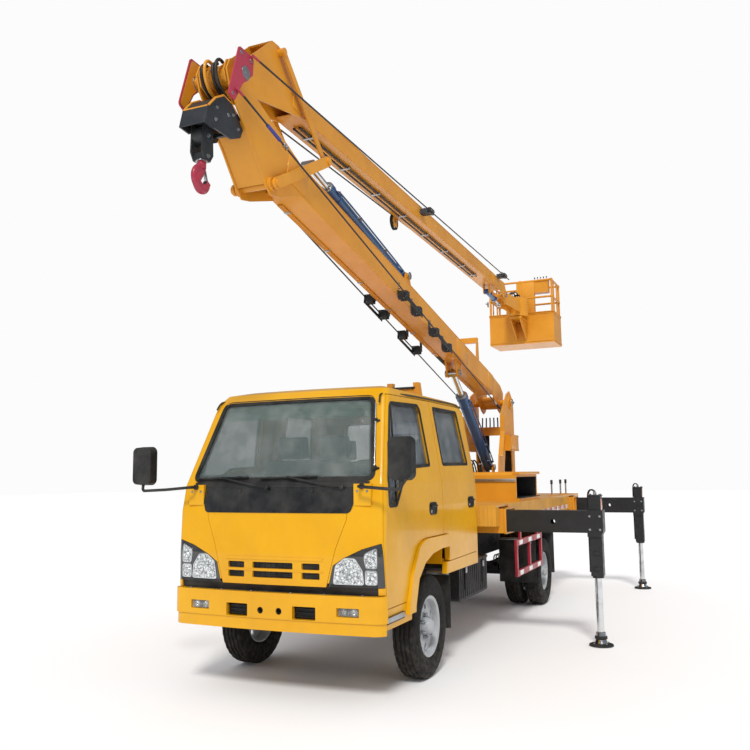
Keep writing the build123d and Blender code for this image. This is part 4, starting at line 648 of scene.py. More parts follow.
def wipers():
    """Two wipers parked along the foot of the windscreen: pivot, arm, bridge and blade."""
    for name, pivot_y, blade_from, blade_to in (("inner", -0.07, -0.7, -0.24), ("outer", 0.53, -0.13, 0.33)):
        wiper = Shape(f"wiper_{name}", "chassis", PLASTIC, RUBBER)
        pivot = on_front(0.012)(pivot_y, 1.47)
        wiper.drum(pivot - Vector((0.014, 0, 0.006)), pivot + Vector((0.018, 0, 0.008)), 0.017, bevel=0.003)
        middle_y = (blade_from + blade_to) / 2
        grip = on_front(0.034)(middle_y, 1.548)
        elbow = on_front(0.03)(pivot_y + (middle_y - pivot_y) * 0.35, 1.497)
        wiper.pipe([pivot + Vector((0.016, 0, 0.006)), elbow, grip.lerp(elbow, 0.4), grip], 0.006)
        line = [on_front(0.028)(blade_from + (blade_to - blade_from) * k / 6, 1.541 + 0.01 * k / 6)
                for k in range(7)]
        wiper.pipe(line, 0.0055)
        wiper.pipe([p - Vector((0.01, 0, 0.003)) for p in line], 0.005, look=1)
        for k in (1, 3, 5):
            wiper.block(line[k] + Vector((0.001, 0, 0.002)), (0.012, 0.03, 0.013))
        wiper.place(slot="black")


def aerial():
    """The aerial folded down along the left edge of the windscreen, in two rubber clips."""
    rod = Shape("aerial", "chassis", CHROME, RUBBER)
    top, foot = on_front(0.018)(0.676, 2.08), on_front(0.018)(0.752, 1.6)
    rod.drum(foot, top, 0.0045, sides=12)
    rod.drum(foot.lerp(top, 0.3), top, 0.0065, sides=12)
    for part in (0.0, 0.72):
        spot = foot.lerp(top, part)
        rod.drum(spot - Vector((0.004, 0.012, 0.012)), spot + Vector((0.003, 0.014, 0.016)), 0.011, look=1,
                 bevel=0.003, sides=16)
        rod.drum(spot, spot + Vector((-0.024, 0.026, 0.0)), 0.009, look=1, bevel=0.002, sides=16)
    rod.place(slot="chrome")


BUMPER_TIP, BUMPER_FALL, BUMPER_FLAT = 1.022, 0.035, 0.77


def bumper_x(y):
    """Front of the bumper at a place across it."""
    return BUMPER_TIP - BUMPER_FALL * (y / BUMPER_FLAT) ** 2


def bumper_details():
    """Fog lamps set back in their openings, dark ducts, towing eyes, the black apron and the bolts along the
    bumper's top.
    """
    ducts = Shape("bumper_ducts", "chassis", PLASTIC, ZINC)
    # the black apron between the lamps and the bumper
    apron = trapeze(0.8, 0.797, 0.8, 0.742)
    ducts.skin(skin_outline(apron, 0.006, 0.04), on_front(-0.012), 0.006)
    for side in (-1, 1):
        y = side * 0.272
        ducts.block(at(bumper_x(y) - 0.05, y, 0.61), (0.008, 0.205, 0.11), bevel=0.001)
        for k in range(3):
            ducts.block(at(bumper_x(y) - 0.04, y, 0.582 + 0.028 * k), (0.02, 0.178, 0.005), bevel=0.0015)
        ducts.lathe(at(bumper_x(0.075) - 0.036, side * 0.075, 0.615), (1, 0, 0),
                    [(0.0, 0.0), (0.024, 0.0), (0.0235, 0.03), (0.019, 0.03), (0.018, 0.004)], sides=24)
        # bolts along the top return
        for y_bolt in (0.16, 0.42, 0.7):
            ducts.bolt(at(bumper_x(y_bolt) - 0.02, side * y_bolt, 0.738), (0, 0, 1), 0.011, look=1)
    ducts.place(slot="black")
    for name, side in SIDES:
        fog = Shape(f"fog_lamp_{name}", "chassis", LENS, CHROME, PLASTIC)
        y, z = side * 0.6, 0.628
        face = bumper_x(y)
        cell = rounded(oblong(0.0, 0.0, 0.079, 0.027), 0.008)
        fog.plate([(y + p.x, z + p.y) for p in cell], "YZ", FRONT_AXLE + face - 0.022, FRONT_AXLE + face - 0.017,
                  bevel=0.001)
        fog.block(at(face - 0.055, y, z), (0.006, 0.172, 0.068), look=2, bevel=0.001)
        for offset in (-0.038, 0.038):
            fog.lathe(at(face - 0.05, y + offset, z), (1, 0, 0),
                      [(0.026, 0.026), (0.024, 0.014), (0.016, 0.005), (0.006, 0.002), (0.005, 0.012),
                       (0.0, 0.014)], look=1, sides=28)
        for k in range(7):
            fog.block(at(face - 0.0165, y - 0.066 + 0.022 * k, z), (0.002, 0.004, 0.046), bevel=0.0008)
        fog.place(slot="lens")


# ================================================================ cab sides
FRONT_WINDOW = [(0.832, 1.335), (0.826, 1.52), (0.59, 2.055), (0.556, 2.088), (-0.02, 2.108), (-0.06, 2.078),
                (-0.095, 1.625), (0.27, 1.61), (0.56, 1.48), (0.69, 1.335)]
REAR_WINDOW = [(-0.415, 1.632), (-0.388, 2.114), (-1.036, 2.118), (-1.125, 1.64)]
HANDLES = {"front": (-0.075, 1.285), "rear": (-1.105, 1.3)}


def door_trim(place, window, name, side):
    """Glass, run channel, inner trim, handle and lock of one door; all of it moves with the door."""
    body = f"{place}_door_{name}"
    line = skin_outline(window, 0.022, 0.08)
    glass = Shape(f"{body}_glass", body, SIDE_GLASS)
    glass.skin(grown(line, -0.0005), on_side(side, -0.022), 0.004)
    glass.place(slot="glass")
    trim = Shape(f"{body}_trim", body, RUBBER, PLASTIC, CHROME)
    trim.skin(grown(line, 0.009), on_side(side, 0.0022), 0.0045, hole=grown(line, -0.017))
    if place == "front":
        # fixed quarter light's bar
        trim.pipe([on_side(side, 0.001)(0.7, 1.345), on_side(side, 0.001)(0.64, 1.7),
                   on_side(side, 0.001)(0.56, 2.08)], 0.007)
    x, z = HANDLES[place]
    skin = on_side(side, 0.0)
    cup = skin_outline(oblong(x, z, 0.092, 0.05), 0.045, 0.02)
    trim.skin(cup, on_side(side, 0.003), 0.004, look=1)
    trim.skin(grown(cup, -0.01), on_side(side, 0.0036), 0.001)
    trim.pipe([skin(x + dx, z + dz) + Vector((0, side * dy, 0))
               for dx, dz, dy in ((-0.07, 0.018, 0.006), (-0.03, 0.02, 0.022), (0.03, 0.02, 0.022),
                                  (0.07, 0.018, 0.006))], 0.011, look=1)
    spot = skin(x + 0.055, z - 0.022) + Vector((0, side * 0.003, 0))
    trim.lathe(spot, (0, side, 0), [(0.013, 0.0), (0.013, 0.004), (0.009, 0.005), (0.008, 0.003), (0.0, 0.003)],
               look=2, sides=24)
    trim.place(slot="black")


def drip_rails():
    """The folded gutter over each pair of doors; its darkened yellow colour is painted shade."""
    for name, side in SIDES:
        # painted shade: the dark yellow-brown colours are the cab's yellow as it looks in shade
        rail = Shape(f"drip_rail_{name}", "chassis", satin_black(f"gutter_painted_shade_{name}", "3A2C12", "54401A",
                                                                 rough=0.5))
        line = [(0.655, 2.085), (0.632, 2.128), (0.585, 2.158), (0.2, 2.176), (-0.16, 2.183), (-0.7, 2.19),
                (-1.13, 2.194), (-1.205, 2.17)]
        rail.pipe([on_side(side, 0.006)(x, z) for x, z in line], 0.0075)
        rail.place(slot="black")


def cab_steps():
    """The step under each front door with its bright kick strip, and mud flaps behind the front wheels."""
    for name, side in SIDES:
        step = Shape(f"cab_step_{name}", "chassis", PLASTIC, ZINC, RUBBER)
        step.block(at(0.735, side * 0.822, 0.566), (0.33, 0.058, 0.048), bevel=0.01)
        step.block(at(0.735, side * 0.838, 0.589), (0.324, 0.046, 0.006), look=1, bevel=0.002)
        step.block(at(0.735, side * 0.8525, 0.572), (0.322, 0.004, 0.034), look=1, bevel=0.001)
        for k in range(9):
            step.block(at(0.605 + 0.0325 * k, side * 0.838, 0.593), (0.008, 0.034, 0.004), look=2, bevel=0.001)
        for x in (0.64, 0.83):
            step.block(at(x, side * 0.7, 0.6), (0.03, 0.2, 0.03))
        step.place(slot="black")
        flap = Shape(f"front_mud_flap_{name}", "chassis", RUBBER, ZINC)
        flap.block(at(-0.475, side * 0.735, 0.52), (0.008, 0.215, 0.46), bevel=0.002)
        flap.block(at(-0.469, side * 0.735, 0.735), (0.006, 0.2, 0.03), look=1, bevel=0.001)
        for y in (0.65, 0.735, 0.82):
            flap.bolt(at(-0.466, side * y, 0.735), (1, 0, 0), 0.01, look=1)
        flap.place(slot="black")


def mirror_details():
    """Mirror glass, the clamp on each arm and its foot at the cab's corner."""
    for name, head_y, head_z in (("left", 0.995, 1.665), ("right", -1.165, 1.645)):
        detail = Shape(f"mirror_fittings_{name}", "chassis", MIRROR, PLASTIC, ZINC)
        face = rounded(oblong(0.0, 0.0, 0.08, 0.137), 0.04)
        detail.plate([(head_y + p.x, head_z + p.y) for p in face], "YZ", FRONT_AXLE + 0.926, FRONT_AXLE + 0.9295)
        detail.drum(at(0.966, head_y, 1.5), at(0.966, head_y, 1.56), 0.019, look=1, bevel=0.004)
        side = math.copysign(1, head_y)
        detail.drum(at(0.936, side * 0.69, 1.478), at(0.958, side * 0.69, 1.478), 0.02, look=1, bevel=0.003)
        for y in (0.728, 0.652):
            detail.bolt(at(0.942, side * y, 1.445), (1, 0, 0), 0.01, look=2)
        detail.place(slot="mirror")


# ================================================================ inside the cab
def cushion(name, centre, size, lean=0.0, channels=2):
    """A sewn seat cushion: crowned faces, sides drawn in between the corners, stitched channels on its face."""
    form = bmesh.new()
    bmesh.ops.create_cube(form, size=2.0)
    bmesh.ops.subdivide_edges(form, edges=form.edges[:], cuts=15, use_grid_fill=True)
    half = Vector(size) / 2
    for vert in form.verts:
        u, v, w = vert.co
        pull = 0.03 * (1 - w * w)
        x = half.x * (u - math.copysign(pull * (1 - v * v) + 0.05 * v * v * abs(w), u) * (abs(u) > 0.99))
        y = half.y * (v - math.copysign(pull * (1 - u * u) + 0.05 * u * u * abs(w), v) * (abs(v) > 0.99))
        crown = 0.2 * (1 - u ** 4) * (1 - v ** 4)
        for k in range(channels):
            line = (k + 1) / (channels + 1) * 2 - 1
            crown -= 0.12 * math.exp(-((v - line) / 0.05) ** 2) * (1 - u ** 6) * (w > 0.99)
        z = half.z * w * (0.82 + crown)
        vert.co = Vector((x, y, z))
    turn = Matrix.Rotation(lean, 4, "Y")
    bmesh.ops.transform(form, matrix=Matrix.Translation(centre) @ turn, verts=form.verts)
    piece = Shape(name, "chassis", CLOTH).take(form, smooth=True)
    made = piece.place(slot="interior", flat_below=3.1)
    rounding = made.modifiers.new("softness", "SUBSURF")
    rounding.levels = rounding.render_levels = 1
    return made


SEATS = (("driver_seat", -0.03, 0.43, 0.5, (0.0,)), ("double_seat", -0.03, -0.27, 0.84, (-0.2, 0.2)),
         ("rear_bench", -1.0, 0.0, 1.38, (-0.46, 0.0, 0.46)))
FLOOR_TOP = 0.855


def cab_inside():
    """Seats on their boxes, dash with its binnacle, and steering wheel, in place of the plain solids."""
    frame_parts = Shape("cab_fittings", "chassis", DASH_GREY, PLASTIC, CHROME)
    dash = [(0.665, 1.235), (0.645, 1.33), (0.672, 1.418), (0.74, 1.446), (0.84, 1.44), (0.848, 1.14),
            (0.76, 1.14)]
    frame_parts.plate([(FRONT_AXLE + x, z) for x, z in dash], "XZ", -0.715, 0.715, bevel=0.012)
    frame_parts.block(at(0.69, 0.42, 1.455), (0.13, 0.36, 0.06), look=1, bevel=0.025)
    for y in (-0.6, -0.1, 0.1, 0.62):
        frame_parts.block(at(0.652, y, 1.37), (0.012, 0.11, 0.05), look=1, bevel=0.004)
        for k in range(4):
            frame_parts.block(at(0.645, y, 1.352 + 0.012 * k), (0.006, 0.1, 0.003), bevel=0.001)
    hub = at(0.545, 0.42, 1.395)
    tilt = Matrix.Rotation(math.radians(-28), 3, "Y")
    frame_parts.pipe([hub + tilt @ Vector((a, b, 0.0)) for a, b in spokes(16, 0.195)], 0.0135, look=1,
                     closed=True)
    for angle in (0.5, 2.64, 4.71):
        end = hub + tilt @ Vector((0.19 * math.cos(angle), 0.19 * math.sin(angle), 0.0))
        frame_parts.pipe([hub + tilt @ Vector((0, 0, -0.02)), hub.lerp(end, 0.5) + tilt @ Vector((0, 0, -0.012)),
                          end], 0.011, look=1)
    frame_parts.drum(hub + tilt @ Vector((0, 0, -0.035)), hub + tilt @ Vector((0, 0, 0.01)), 0.055, look=1,
                     bevel=0.012)
    frame_parts.drum(hub + tilt @ Vector((0, 0, -0.34)), hub + tilt @ Vector((0, 0, -0.03)), 0.026, look=1)
    for name, x, y, width, rests in SEATS:
        frame_parts.block(at(x + 0.23, y, (FLOOR_TOP + 0.99) / 2), (0.4, width - 0.23, 0.99 - FLOOR_TOP), look=1,
                          bevel=0.01)
        for k in rests:
            for post in (-0.05, 0.05):
                frame_parts.drum(at(x - 0.128, y + k + post, 1.64), at(x - 0.15, y + k + post, 1.74), 0.006,
                                 look=2, sides=12)
    frame_parts.place(slot="interior", replaces=("cab_interior",))
    for name, x, y, width, rests in SEATS:
        cushion(name, at(x + 0.24, y, 1.078), (0.52, width, 0.17), channels=3 * len(rests) - 1)
        cushion(f"{name}_back", at(x - 0.07, y, 1.415), (0.54, width - 0.03, 0.15), lean=math.radians(-79),
                channels=3 * len(rests) - 1)
        for k, offset in enumerate(rests):
            cushion(f"{name}_head_rest_{k}", at(x - 0.14, y + offset, 1.795), (0.19, 0.26, 0.11),
                    lean=math.radians(-84), channels=0)


# ================================================================ wheels and axles
TYRE_RADIUS, TYRE_HALF = 0.3875, 0.095
REAR_AXLE = -3.815
FRONT_HALF_TRACK, REAR_HALF_TRACK, DUAL_PITCH = 0.75, 0.73, 0.24


def tyre_form(piece, x, y, blocks):
    """One tyre turned about its axle: bead, curved sidewall with rings, tread cut by grooves or blocks."""
    steps = 72
    half = [(0.06, 0.228), (0.078, 0.232), (0.088, 0.246), (0.0945, 0.275), (0.095, 0.3), (0.0925, 0.325),
            (0.0915, 0.327), (0.0915, 0.331), (0.0925, 0.333), (0.088, 0.362), (0.0835, 0.373), (0.079, 0.38),
            (0.062, 0.385), (0.0585, 0.3765), (0.051, 0.3765), (0.0475, 0.3862), (0.024, 0.3875),
            (0.0205, 0.3775), (0.013, 0.3775), (0.0095, 0.3875)]
    section_points = half + [(-across, radius) for across, radius in reversed(half)]
    form = bmesh.new()
    rings = []
    for k in range(steps):
        angle = math.tau * k / steps
        ring = []
        for i, (across, radius) in enumerate(section_points):
            cut = 0.0
            shoulder = 0.07 < abs(across) < 0.09 and radius > 0.36
            if blocks and abs(across) > 0.045 and radius > 0.372 and k % 3 == 0:
                cut = 0.01
            elif not blocks and shoulder and k % 2 == 0:
                cut = 0.004
            weave = 0.0035 * math.sin(angle * 24) if 0.005 < abs(across) < 0.055 and radius > 0.37 else 0.0
            turned = angle + (0.018 if across > 0 else 0.0)
            ring.append(form.verts.new(Vector((math.cos(turned) * (radius - cut), across + weave,
                                               math.sin(turned) * (radius - cut)))))
        rings.append(ring)
    for k in range(steps):
        here, after = rings[k], rings[(k + 1) % steps]
        for i in range(len(here) - 1):
            form.faces.new((here[i], here[i + 1], after[i + 1], after[i]))
        form.faces.new((here[-1], here[0], after[0], after[-1]))
    bmesh.ops.recalc_face_normals(form, faces=form.faces)
    bmesh.ops.translate(form, vec=at(x, y, TYRE_RADIUS), verts=form.verts)
    piece.take(form, smooth=True)


def wheel_dressing():
    """Tyres with their treads, the wheel nuts and hub caps of every wheel, and the valves of the front wheels."""
    for name, side in SIDES:
        tyre = Shape(f"front_tread_{name}", f"front_wheel_{name}", RUBBER_TYRE)
        tyre_form(tyre, 0.0, side * FRONT_HALF_TRACK, False)
        tyre.place(slot="tyre", replaces=(f"front_tyre_{name}",), flat_below=0.5)
        tyres = Shape(f"rear_treads_{name}", f"rear_wheels_{name}", RUBBER_TYRE)
        for offset in (-DUAL_PITCH / 2, DUAL_PITCH / 2):
            tyre_form(tyres, REAR_AXLE, side * REAR_HALF_TRACK + offset, True)
        tyres.place(slot="tyre", replaces=(f"rear_tyres_{name}",), flat_below=0.5)

        band = TYRE_HALF * 0.72
        hub = Shape(f"front_hub_{name}", f"front_wheel_{name}", ZINC, SILVER, PLASTIC)
        face = side * (FRONT_HALF_TRACK + band - 0.042)
        centre = at(0.0, face, TYRE_RADIUS)
        axis = Vector((0, side, 0))
        for a, b in spokes(6, 0.083, 0.5):
            spot = centre + Vector((a, side * 0.003, b))
            hub.drum(spot, spot + axis * 0.006, 0.017, sides=20, bevel=0.001)
            hub.drum(spot + axis * 0.006, spot + axis * 0.027, 0.0145, sides=6, bevel=0.0015)
            hub.drum(spot + axis * 0.027, spot + axis * 0.038, 0.0085, sides=16, bevel=0.001)
        hub.lathe(centre + axis * 0.042, axis, [(0.06, 0.0), (0.059, 0.012), (0.05, 0.022), (0.046, 0.03),
                                                (0.034, 0.036), (0.0, 0.038)], look=1)
        hub.bolt_ring(centre + axis * 0.046, axis, 8, 0.053, 0.009)
        valve = centre + Vector((0.165, side * 0.012, 0.06))
        hub.pipe([valve, valve + axis * 0.02, valve + axis * 0.034 + Vector((0.01, 0, 0.004))], 0.004, look=2)
        # pressed edge of the hand holes
        for a, b in spokes(6, 0.15, 0.5):
            hub.lathe(centre + axis * 0.01 + Vector((a, 0, b)), axis,
                      [(0.0238, -0.004), (0.0275, 0.004), (0.0305, 0.001), (0.0305, -0.004)], look=1, sides=28)
        hub.place(slot="steel")

        hub = Shape(f"rear_hub_{name}", f"rear_wheels_{name}", ZINC, SILVER)
        outer = side * (REAR_HALF_TRACK + DUAL_PITCH / 2)
        face = outer - side * (band - 0.042)
        centre = at(REAR_AXLE, face, TYRE_RADIUS)
        for a, b in spokes(6, 0.083, 0.5):
            spot = centre + Vector((a, side * 0.006, b))
            hub.drum(spot, spot + axis * 0.026, 0.0165, sides=6, bevel=0.0015)
            hub.drum(spot + axis * 0.026, spot + axis * 0.038, 0.011, sides=16, bevel=0.001)
        hub.drum(centre + axis * 0.01, centre + axis * 0.104, 0.058, look=1, bevel=0.01, sides=40)
        hub.drum(centre + axis * 0.104, centre + axis * 0.112, 0.066, look=1, bevel=0.002, sides=40)
        hub.bolt_ring(centre + axis * 0.112, axis, 8, 0.049, 0.01)
        hub.place(slot="steel")


def running_gear():
    """Spring clips, dampers and the exhaust."""
    gear = Shape("spring_clips", "chassis", ZINC)
    for axle, top in ((0.0, 0.48), (REAR_AXLE, 0.54)):
        for side in (-1, 1):
            for offset in (-0.055, 0.055):
                y = side * 0.355
                gear.pipe([at(axle + offset, y + dy, top + dz)
                           for dy, dz in ((-0.04, -0.13), (-0.04, 0.012), (0.0, 0.03), (0.04, 0.012),
                                          (0.04, -0.13))], 0.008)
                for edge in (-0.04, 0.04):
                    gear.bolt(at(axle + offset, y + edge, top - 0.118), (0, 0, -1), 0.015)
    gear.place(slot="chassis_black")
    dampers = Shape("dampers", "chassis", CHASSIS, CHROME)
    for axle, low, high in ((0.0, 0.4, 0.72), (REAR_AXLE, 0.43, 0.72)):
        for side in (-1, 1):
            foot, head = at(axle - 0.13, side * 0.455, low), at(axle - 0.25, side * 0.425, high)
            dampers.drum(foot, foot.lerp(head, 0.55), 0.026, bevel=0.004)
            dampers.drum(foot.lerp(head, 0.5), head, 0.01, look=1)
            dampers.drum(foot.lerp(head, 0.45), foot.lerp(head, 0.92), 0.032, bevel=0.004)
    dampers.place(slot="chassis_black")
    exhaust = Shape("exhaust", "chassis", IRON, ZINC)
    exhaust.drum(at(-1.75, -0.56, 0.56), at(-1.1, -0.56, 0.56), 0.095, bevel=0.02, sides=32)
    exhaust.pipe([at(-0.45, -0.2, 0.6), at(-0.75, -0.42, 0.58), at(-1.12, -0.56, 0.56)], 0.03)
    exhaust.pipe([at(-1.73, -0.56, 0.56), at(-1.95, -0.58, 0.53), at(-2.02, -0.7, 0.44), at(-2.02, -0.86, 0.42)],
                 0.03)
    for x in (-1.3, -1.58):
        exhaust.drum(at(x - 0.012, -0.56, 0.56), at(x + 0.012, -0.56, 0.56), 0.099, look=1, sides=32)
        exhaust.block(at(x, -0.5, 0.68), (0.03, 0.006, 0.16), look=1, bevel=0.001)
    exhaust.place(slot="iron")


# ================================================================ deck and what stands on it
DECK_TOP, DECK_HALF = 1.255, 1.0
DECK_FRONT, DECK_REAR = -1.4, -5.98


def deck_dressing():
    """Reflective tape on the skirt, three short capped rods, trim of the open toolbox and the dark sheets inside
    it that paint its shade.
    """
    for name, side in SIDES:
        tape = Shape(f"reflective_tape_{name}", "chassis", RED_REFLECTOR, WHITE_REFLECTOR)
        x, k = DECK_FRONT - 0.1, 0
        while x > DECK_REAR + 0.15:
            housing = -2.03 < x < -1.35 or -5.78 < x < -5.05
            if not housing:
                tape.block(at(x - 0.075, side * (DECK_HALF + 0.0008), 1.105), (0.149, 0.0016, 0.05), look=k % 2,
                           bevel=0.0004)
            x -= 0.15
            k += 1
        tape.place(slot="red")
    edge = Shape("deck_fittings", "chassis", BOOM_YELLOW, ZINC, PLASTIC)
    for x in (-4.57, -5.17, -5.56):
        edge.drum(at(x, 0.9, DECK_TOP), at(x, 0.9, DECK_TOP + 0.15), 0.011, look=1)
        edge.drum(at(x, 0.9, DECK_TOP + 0.15), at(x, 0.9, DECK_TOP + 0.205), 0.016, look=2, bevel=0.004)
        edge.drum(at(x, 0.9, DECK_TOP), at(x, 0.9, DECK_TOP + 0.012), 0.026, bevel=0.002)
    edge.place(slot="boom_yellow")
    box = Shape("toolbox_trim", "chassis", BOOM_YELLOW, RUBBER, ZINC, CHASSIS)
    box.block(at(-3.01, 0.968, 1.555), (1.02, 0.008, 0.03), bevel=0.002)
    box.block(at(-3.01, 0.966, 1.289), (1.0, 0.006, 0.01), look=1, bevel=0.002)
    for x in (-3.4, -3.01, -2.62):
        box.block(at(x, 0.655, 1.567), (0.03, 0.52, 0.006), bevel=0.002)
    # dark sheets on the inner faces of the open box, painted shade, and the bright bar across its front wall
    box.block(at(-3.01, 0.436, 1.4), (0.976, 0.006, 0.226), look=3, bevel=0.001)
    for x in (-3.496, -2.524):
        box.block(at(x, 0.684, 1.4), (0.006, 0.49, 0.226), look=3, bevel=0.001)
    for z, high in ((1.29, 0.006), (1.512, 0.004)):
        box.block(at(-3.01, 0.684, z), (0.976, 0.49, high), look=3, bevel=0.001)
    box.block(at(-2.492, 0.665, 1.478), (0.012, 0.53, 0.034), look=2, bevel=0.004)
    for x in (-3.3, -2.72):
        box.block(at(x, 0.38, 1.5), (0.07, 0.01, 0.04), look=2, bevel=0.002)
    for x in (-3.46, -2.56):
        for z in (1.3, 1.42, 1.52):
            box.bolt(at(x, 0.38, z), (0, -1, 0), 0.012, look=2)
    box.place(slot="boom_yellow")


def side_boxes():
    """Ribs, lid, strap and latches of the battery box; cap, straps and fuel hose of the fuel tank."""
    box = Shape("battery_box_lid", "chassis", PLASTIC, ZINC, RUBBER)
    for k in range(14):
        box.block(at(-1.8 + 0.0615 * k, 0.772, 0.575), (0.012, 0.008, 0.26))
    box.block(at(-1.4, 0.692, 0.745), (0.915, 0.175, 0.03), bevel=0.008)
    for x in (-1.68, -1.12):
        box.block(at(x, 0.778, 0.64), (0.032, 0.006, 0.25), look=2, bevel=0.002)
        box.block(at(x, 0.784, 0.69), (0.045, 0.012, 0.055), look=1)
    box.place(slot="black")
    tank = Shape("fuel_tank_fittings", "chassis", ZINC, RUBBER, BLACK)
    for x in (-2.6, -2.2):
        tank.pipe([at(x, -0.44, 0.8), at(x, -0.56, 0.816), at(x, -0.76, 0.816), at(x, -0.868, 0.78),
                   at(x, -0.868, 0.5), at(x, -0.76, 0.464), at(x, -0.56, 0.464)], 0.009)
    tank.drum(at(-2.12, -0.8, 0.78), at(-2.1, -0.87, 0.85), 0.042, bevel=0.003)
    tank.drum(at(-2.1, -0.87, 0.85), at(-2.092, -0.895, 0.876), 0.05, look=2, bevel=0.006)
    tank.pipe([at(-2.4, -0.6, 0.812), at(-2.3, -0.5, 0.84), at(-1.8, -0.42, 0.78), at(-1.3, -0.38, 0.76)], 0.009,
              look=1)
    tank.place(slot="black")
    for name, side in SIDES:
        tape = Shape(f"guard_tape_{name}", "chassis", WHITE_REFLECTOR, ZINC)
        for x in (-3.3, -2.88, -2.46):
            for z in (0.525, 0.835):
                tape.block(at(x, side * 0.9787, z), (0.15, 0.0015, 0.046), bevel=0.0004)
        for x in (-3.465, -2.88, -2.295):
            for z in (0.56, 0.79):
                tape.bolt(at(x, side * 0.978, z), (0, side, 0), 0.011, look=1)
        tape.place(slot="guard")
        flap = Shape(f"rear_mud_flap_{name}", "chassis", RUBBER, ZINC, PLASTIC)
        for x, z in ((-3.29, 0.56), (-4.33, 0.56)):
            flap.block(at(x, side * 0.73, z), (0.008, 0.43, 0.5))
            flap.block(at(x, side * 0.73, 0.8), (0.02, 0.43, 0.028), look=1)
        arch = [at(x, side * 0.73, z) for x, z in ((-3.3, 0.79), (-3.36, 0.85), (-3.56, 0.885), (-3.815, 0.892),
                                                   (-4.06, 0.885), (-4.27, 0.85), (-4.32, 0.79))]
        for near, far in zip(arch, arch[1:]):
            tilt = Matrix.Rotation(-math.atan2(far.z - near.z, far.x - near.x), 3, "Y")
            flap.block((near + far) / 2, ((far - near).length + 0.006, 0.43, 0.01), look=2, bevel=0.002,
                       turn=tilt)
        flap.place(slot="black")
    lamps = Shape("rear_lamps", "chassis", PLASTIC, RED_REFLECTOR, AMBER, WHITE_REFLECTOR, ZINC)
    for side in (-1, 1):
        lamps.block(at(-6.0, side * 0.76, 1.14), (0.03, 0.38, 0.12), bevel=0.01)
        for k, look in ((-1, 3), (0, 1), (1, 2)):
            lamps.block(at(-6.017, side * (0.76 + 0.115 * k), 1.14), (0.014, 0.108, 0.096), look=look,
                        bevel=0.006)
    lamps.block(at(-5.99, 0.0, 1.12), (0.004, 0.44, 0.14), look=4, bevel=0.001)
    for y in (-0.17, 0.17):
        lamps.bolt(at(-5.992, y, 1.15), (-1, 0, 0), 0.012, look=4)
    lamps.place(slot="black")


def cradle_dressing():
    """Mesh screen and side stays of the boom rest behind the cab, and the rubber pad it carries."""
    rest = Shape("boom_rest_screen", "chassis", CHASSIS, BOOM_YELLOW, RUBBER)
    for z in (1.76, 1.86, 1.96, 2.06, 2.16, 2.26):
        half = 0.33 - (z - 1.255) * 0.158 / 1.235 - 0.045
        rest.drum(at(-1.66, -half, z), at(-1.66, half, z), 0.005, sides=10)
    for y in (-0.15, -0.1, -0.05, 0.0, 0.05, 0.1, 0.15):
        rest.drum(at(-1.66, y, 1.72), at(-1.66, y, 2.31), 0.004, sides=10)
    rest.block(at(-1.65, 0.0, 2.436), (0.09, 0.27, 0.022), look=2, bevel=0.006)
    for side in (-1, 1):
        rest.drum(at(-1.7, side * 0.3, 1.262), at(-1.66, side * 0.235, 1.78), 0.016, look=1)
        for dx in (-0.055, 0.055):
            for dy in (-0.045, 0.045):
                rest.bolt(at(-1.65 + dx, side * 0.29 + dy, 1.267), (0, 0, 1), 0.014)
    rest.place(slot="boom_yellow")


# ================================================================ outriggers
OUTRIGGERS = (("front", -1.62, -1.79), ("rear", -5.5, -5.33))
LEG_Y, SLEEVE_TOP, SLEEVE_FOOT, BEAM_Z = 1.88, 1.335, 0.62, 1.105


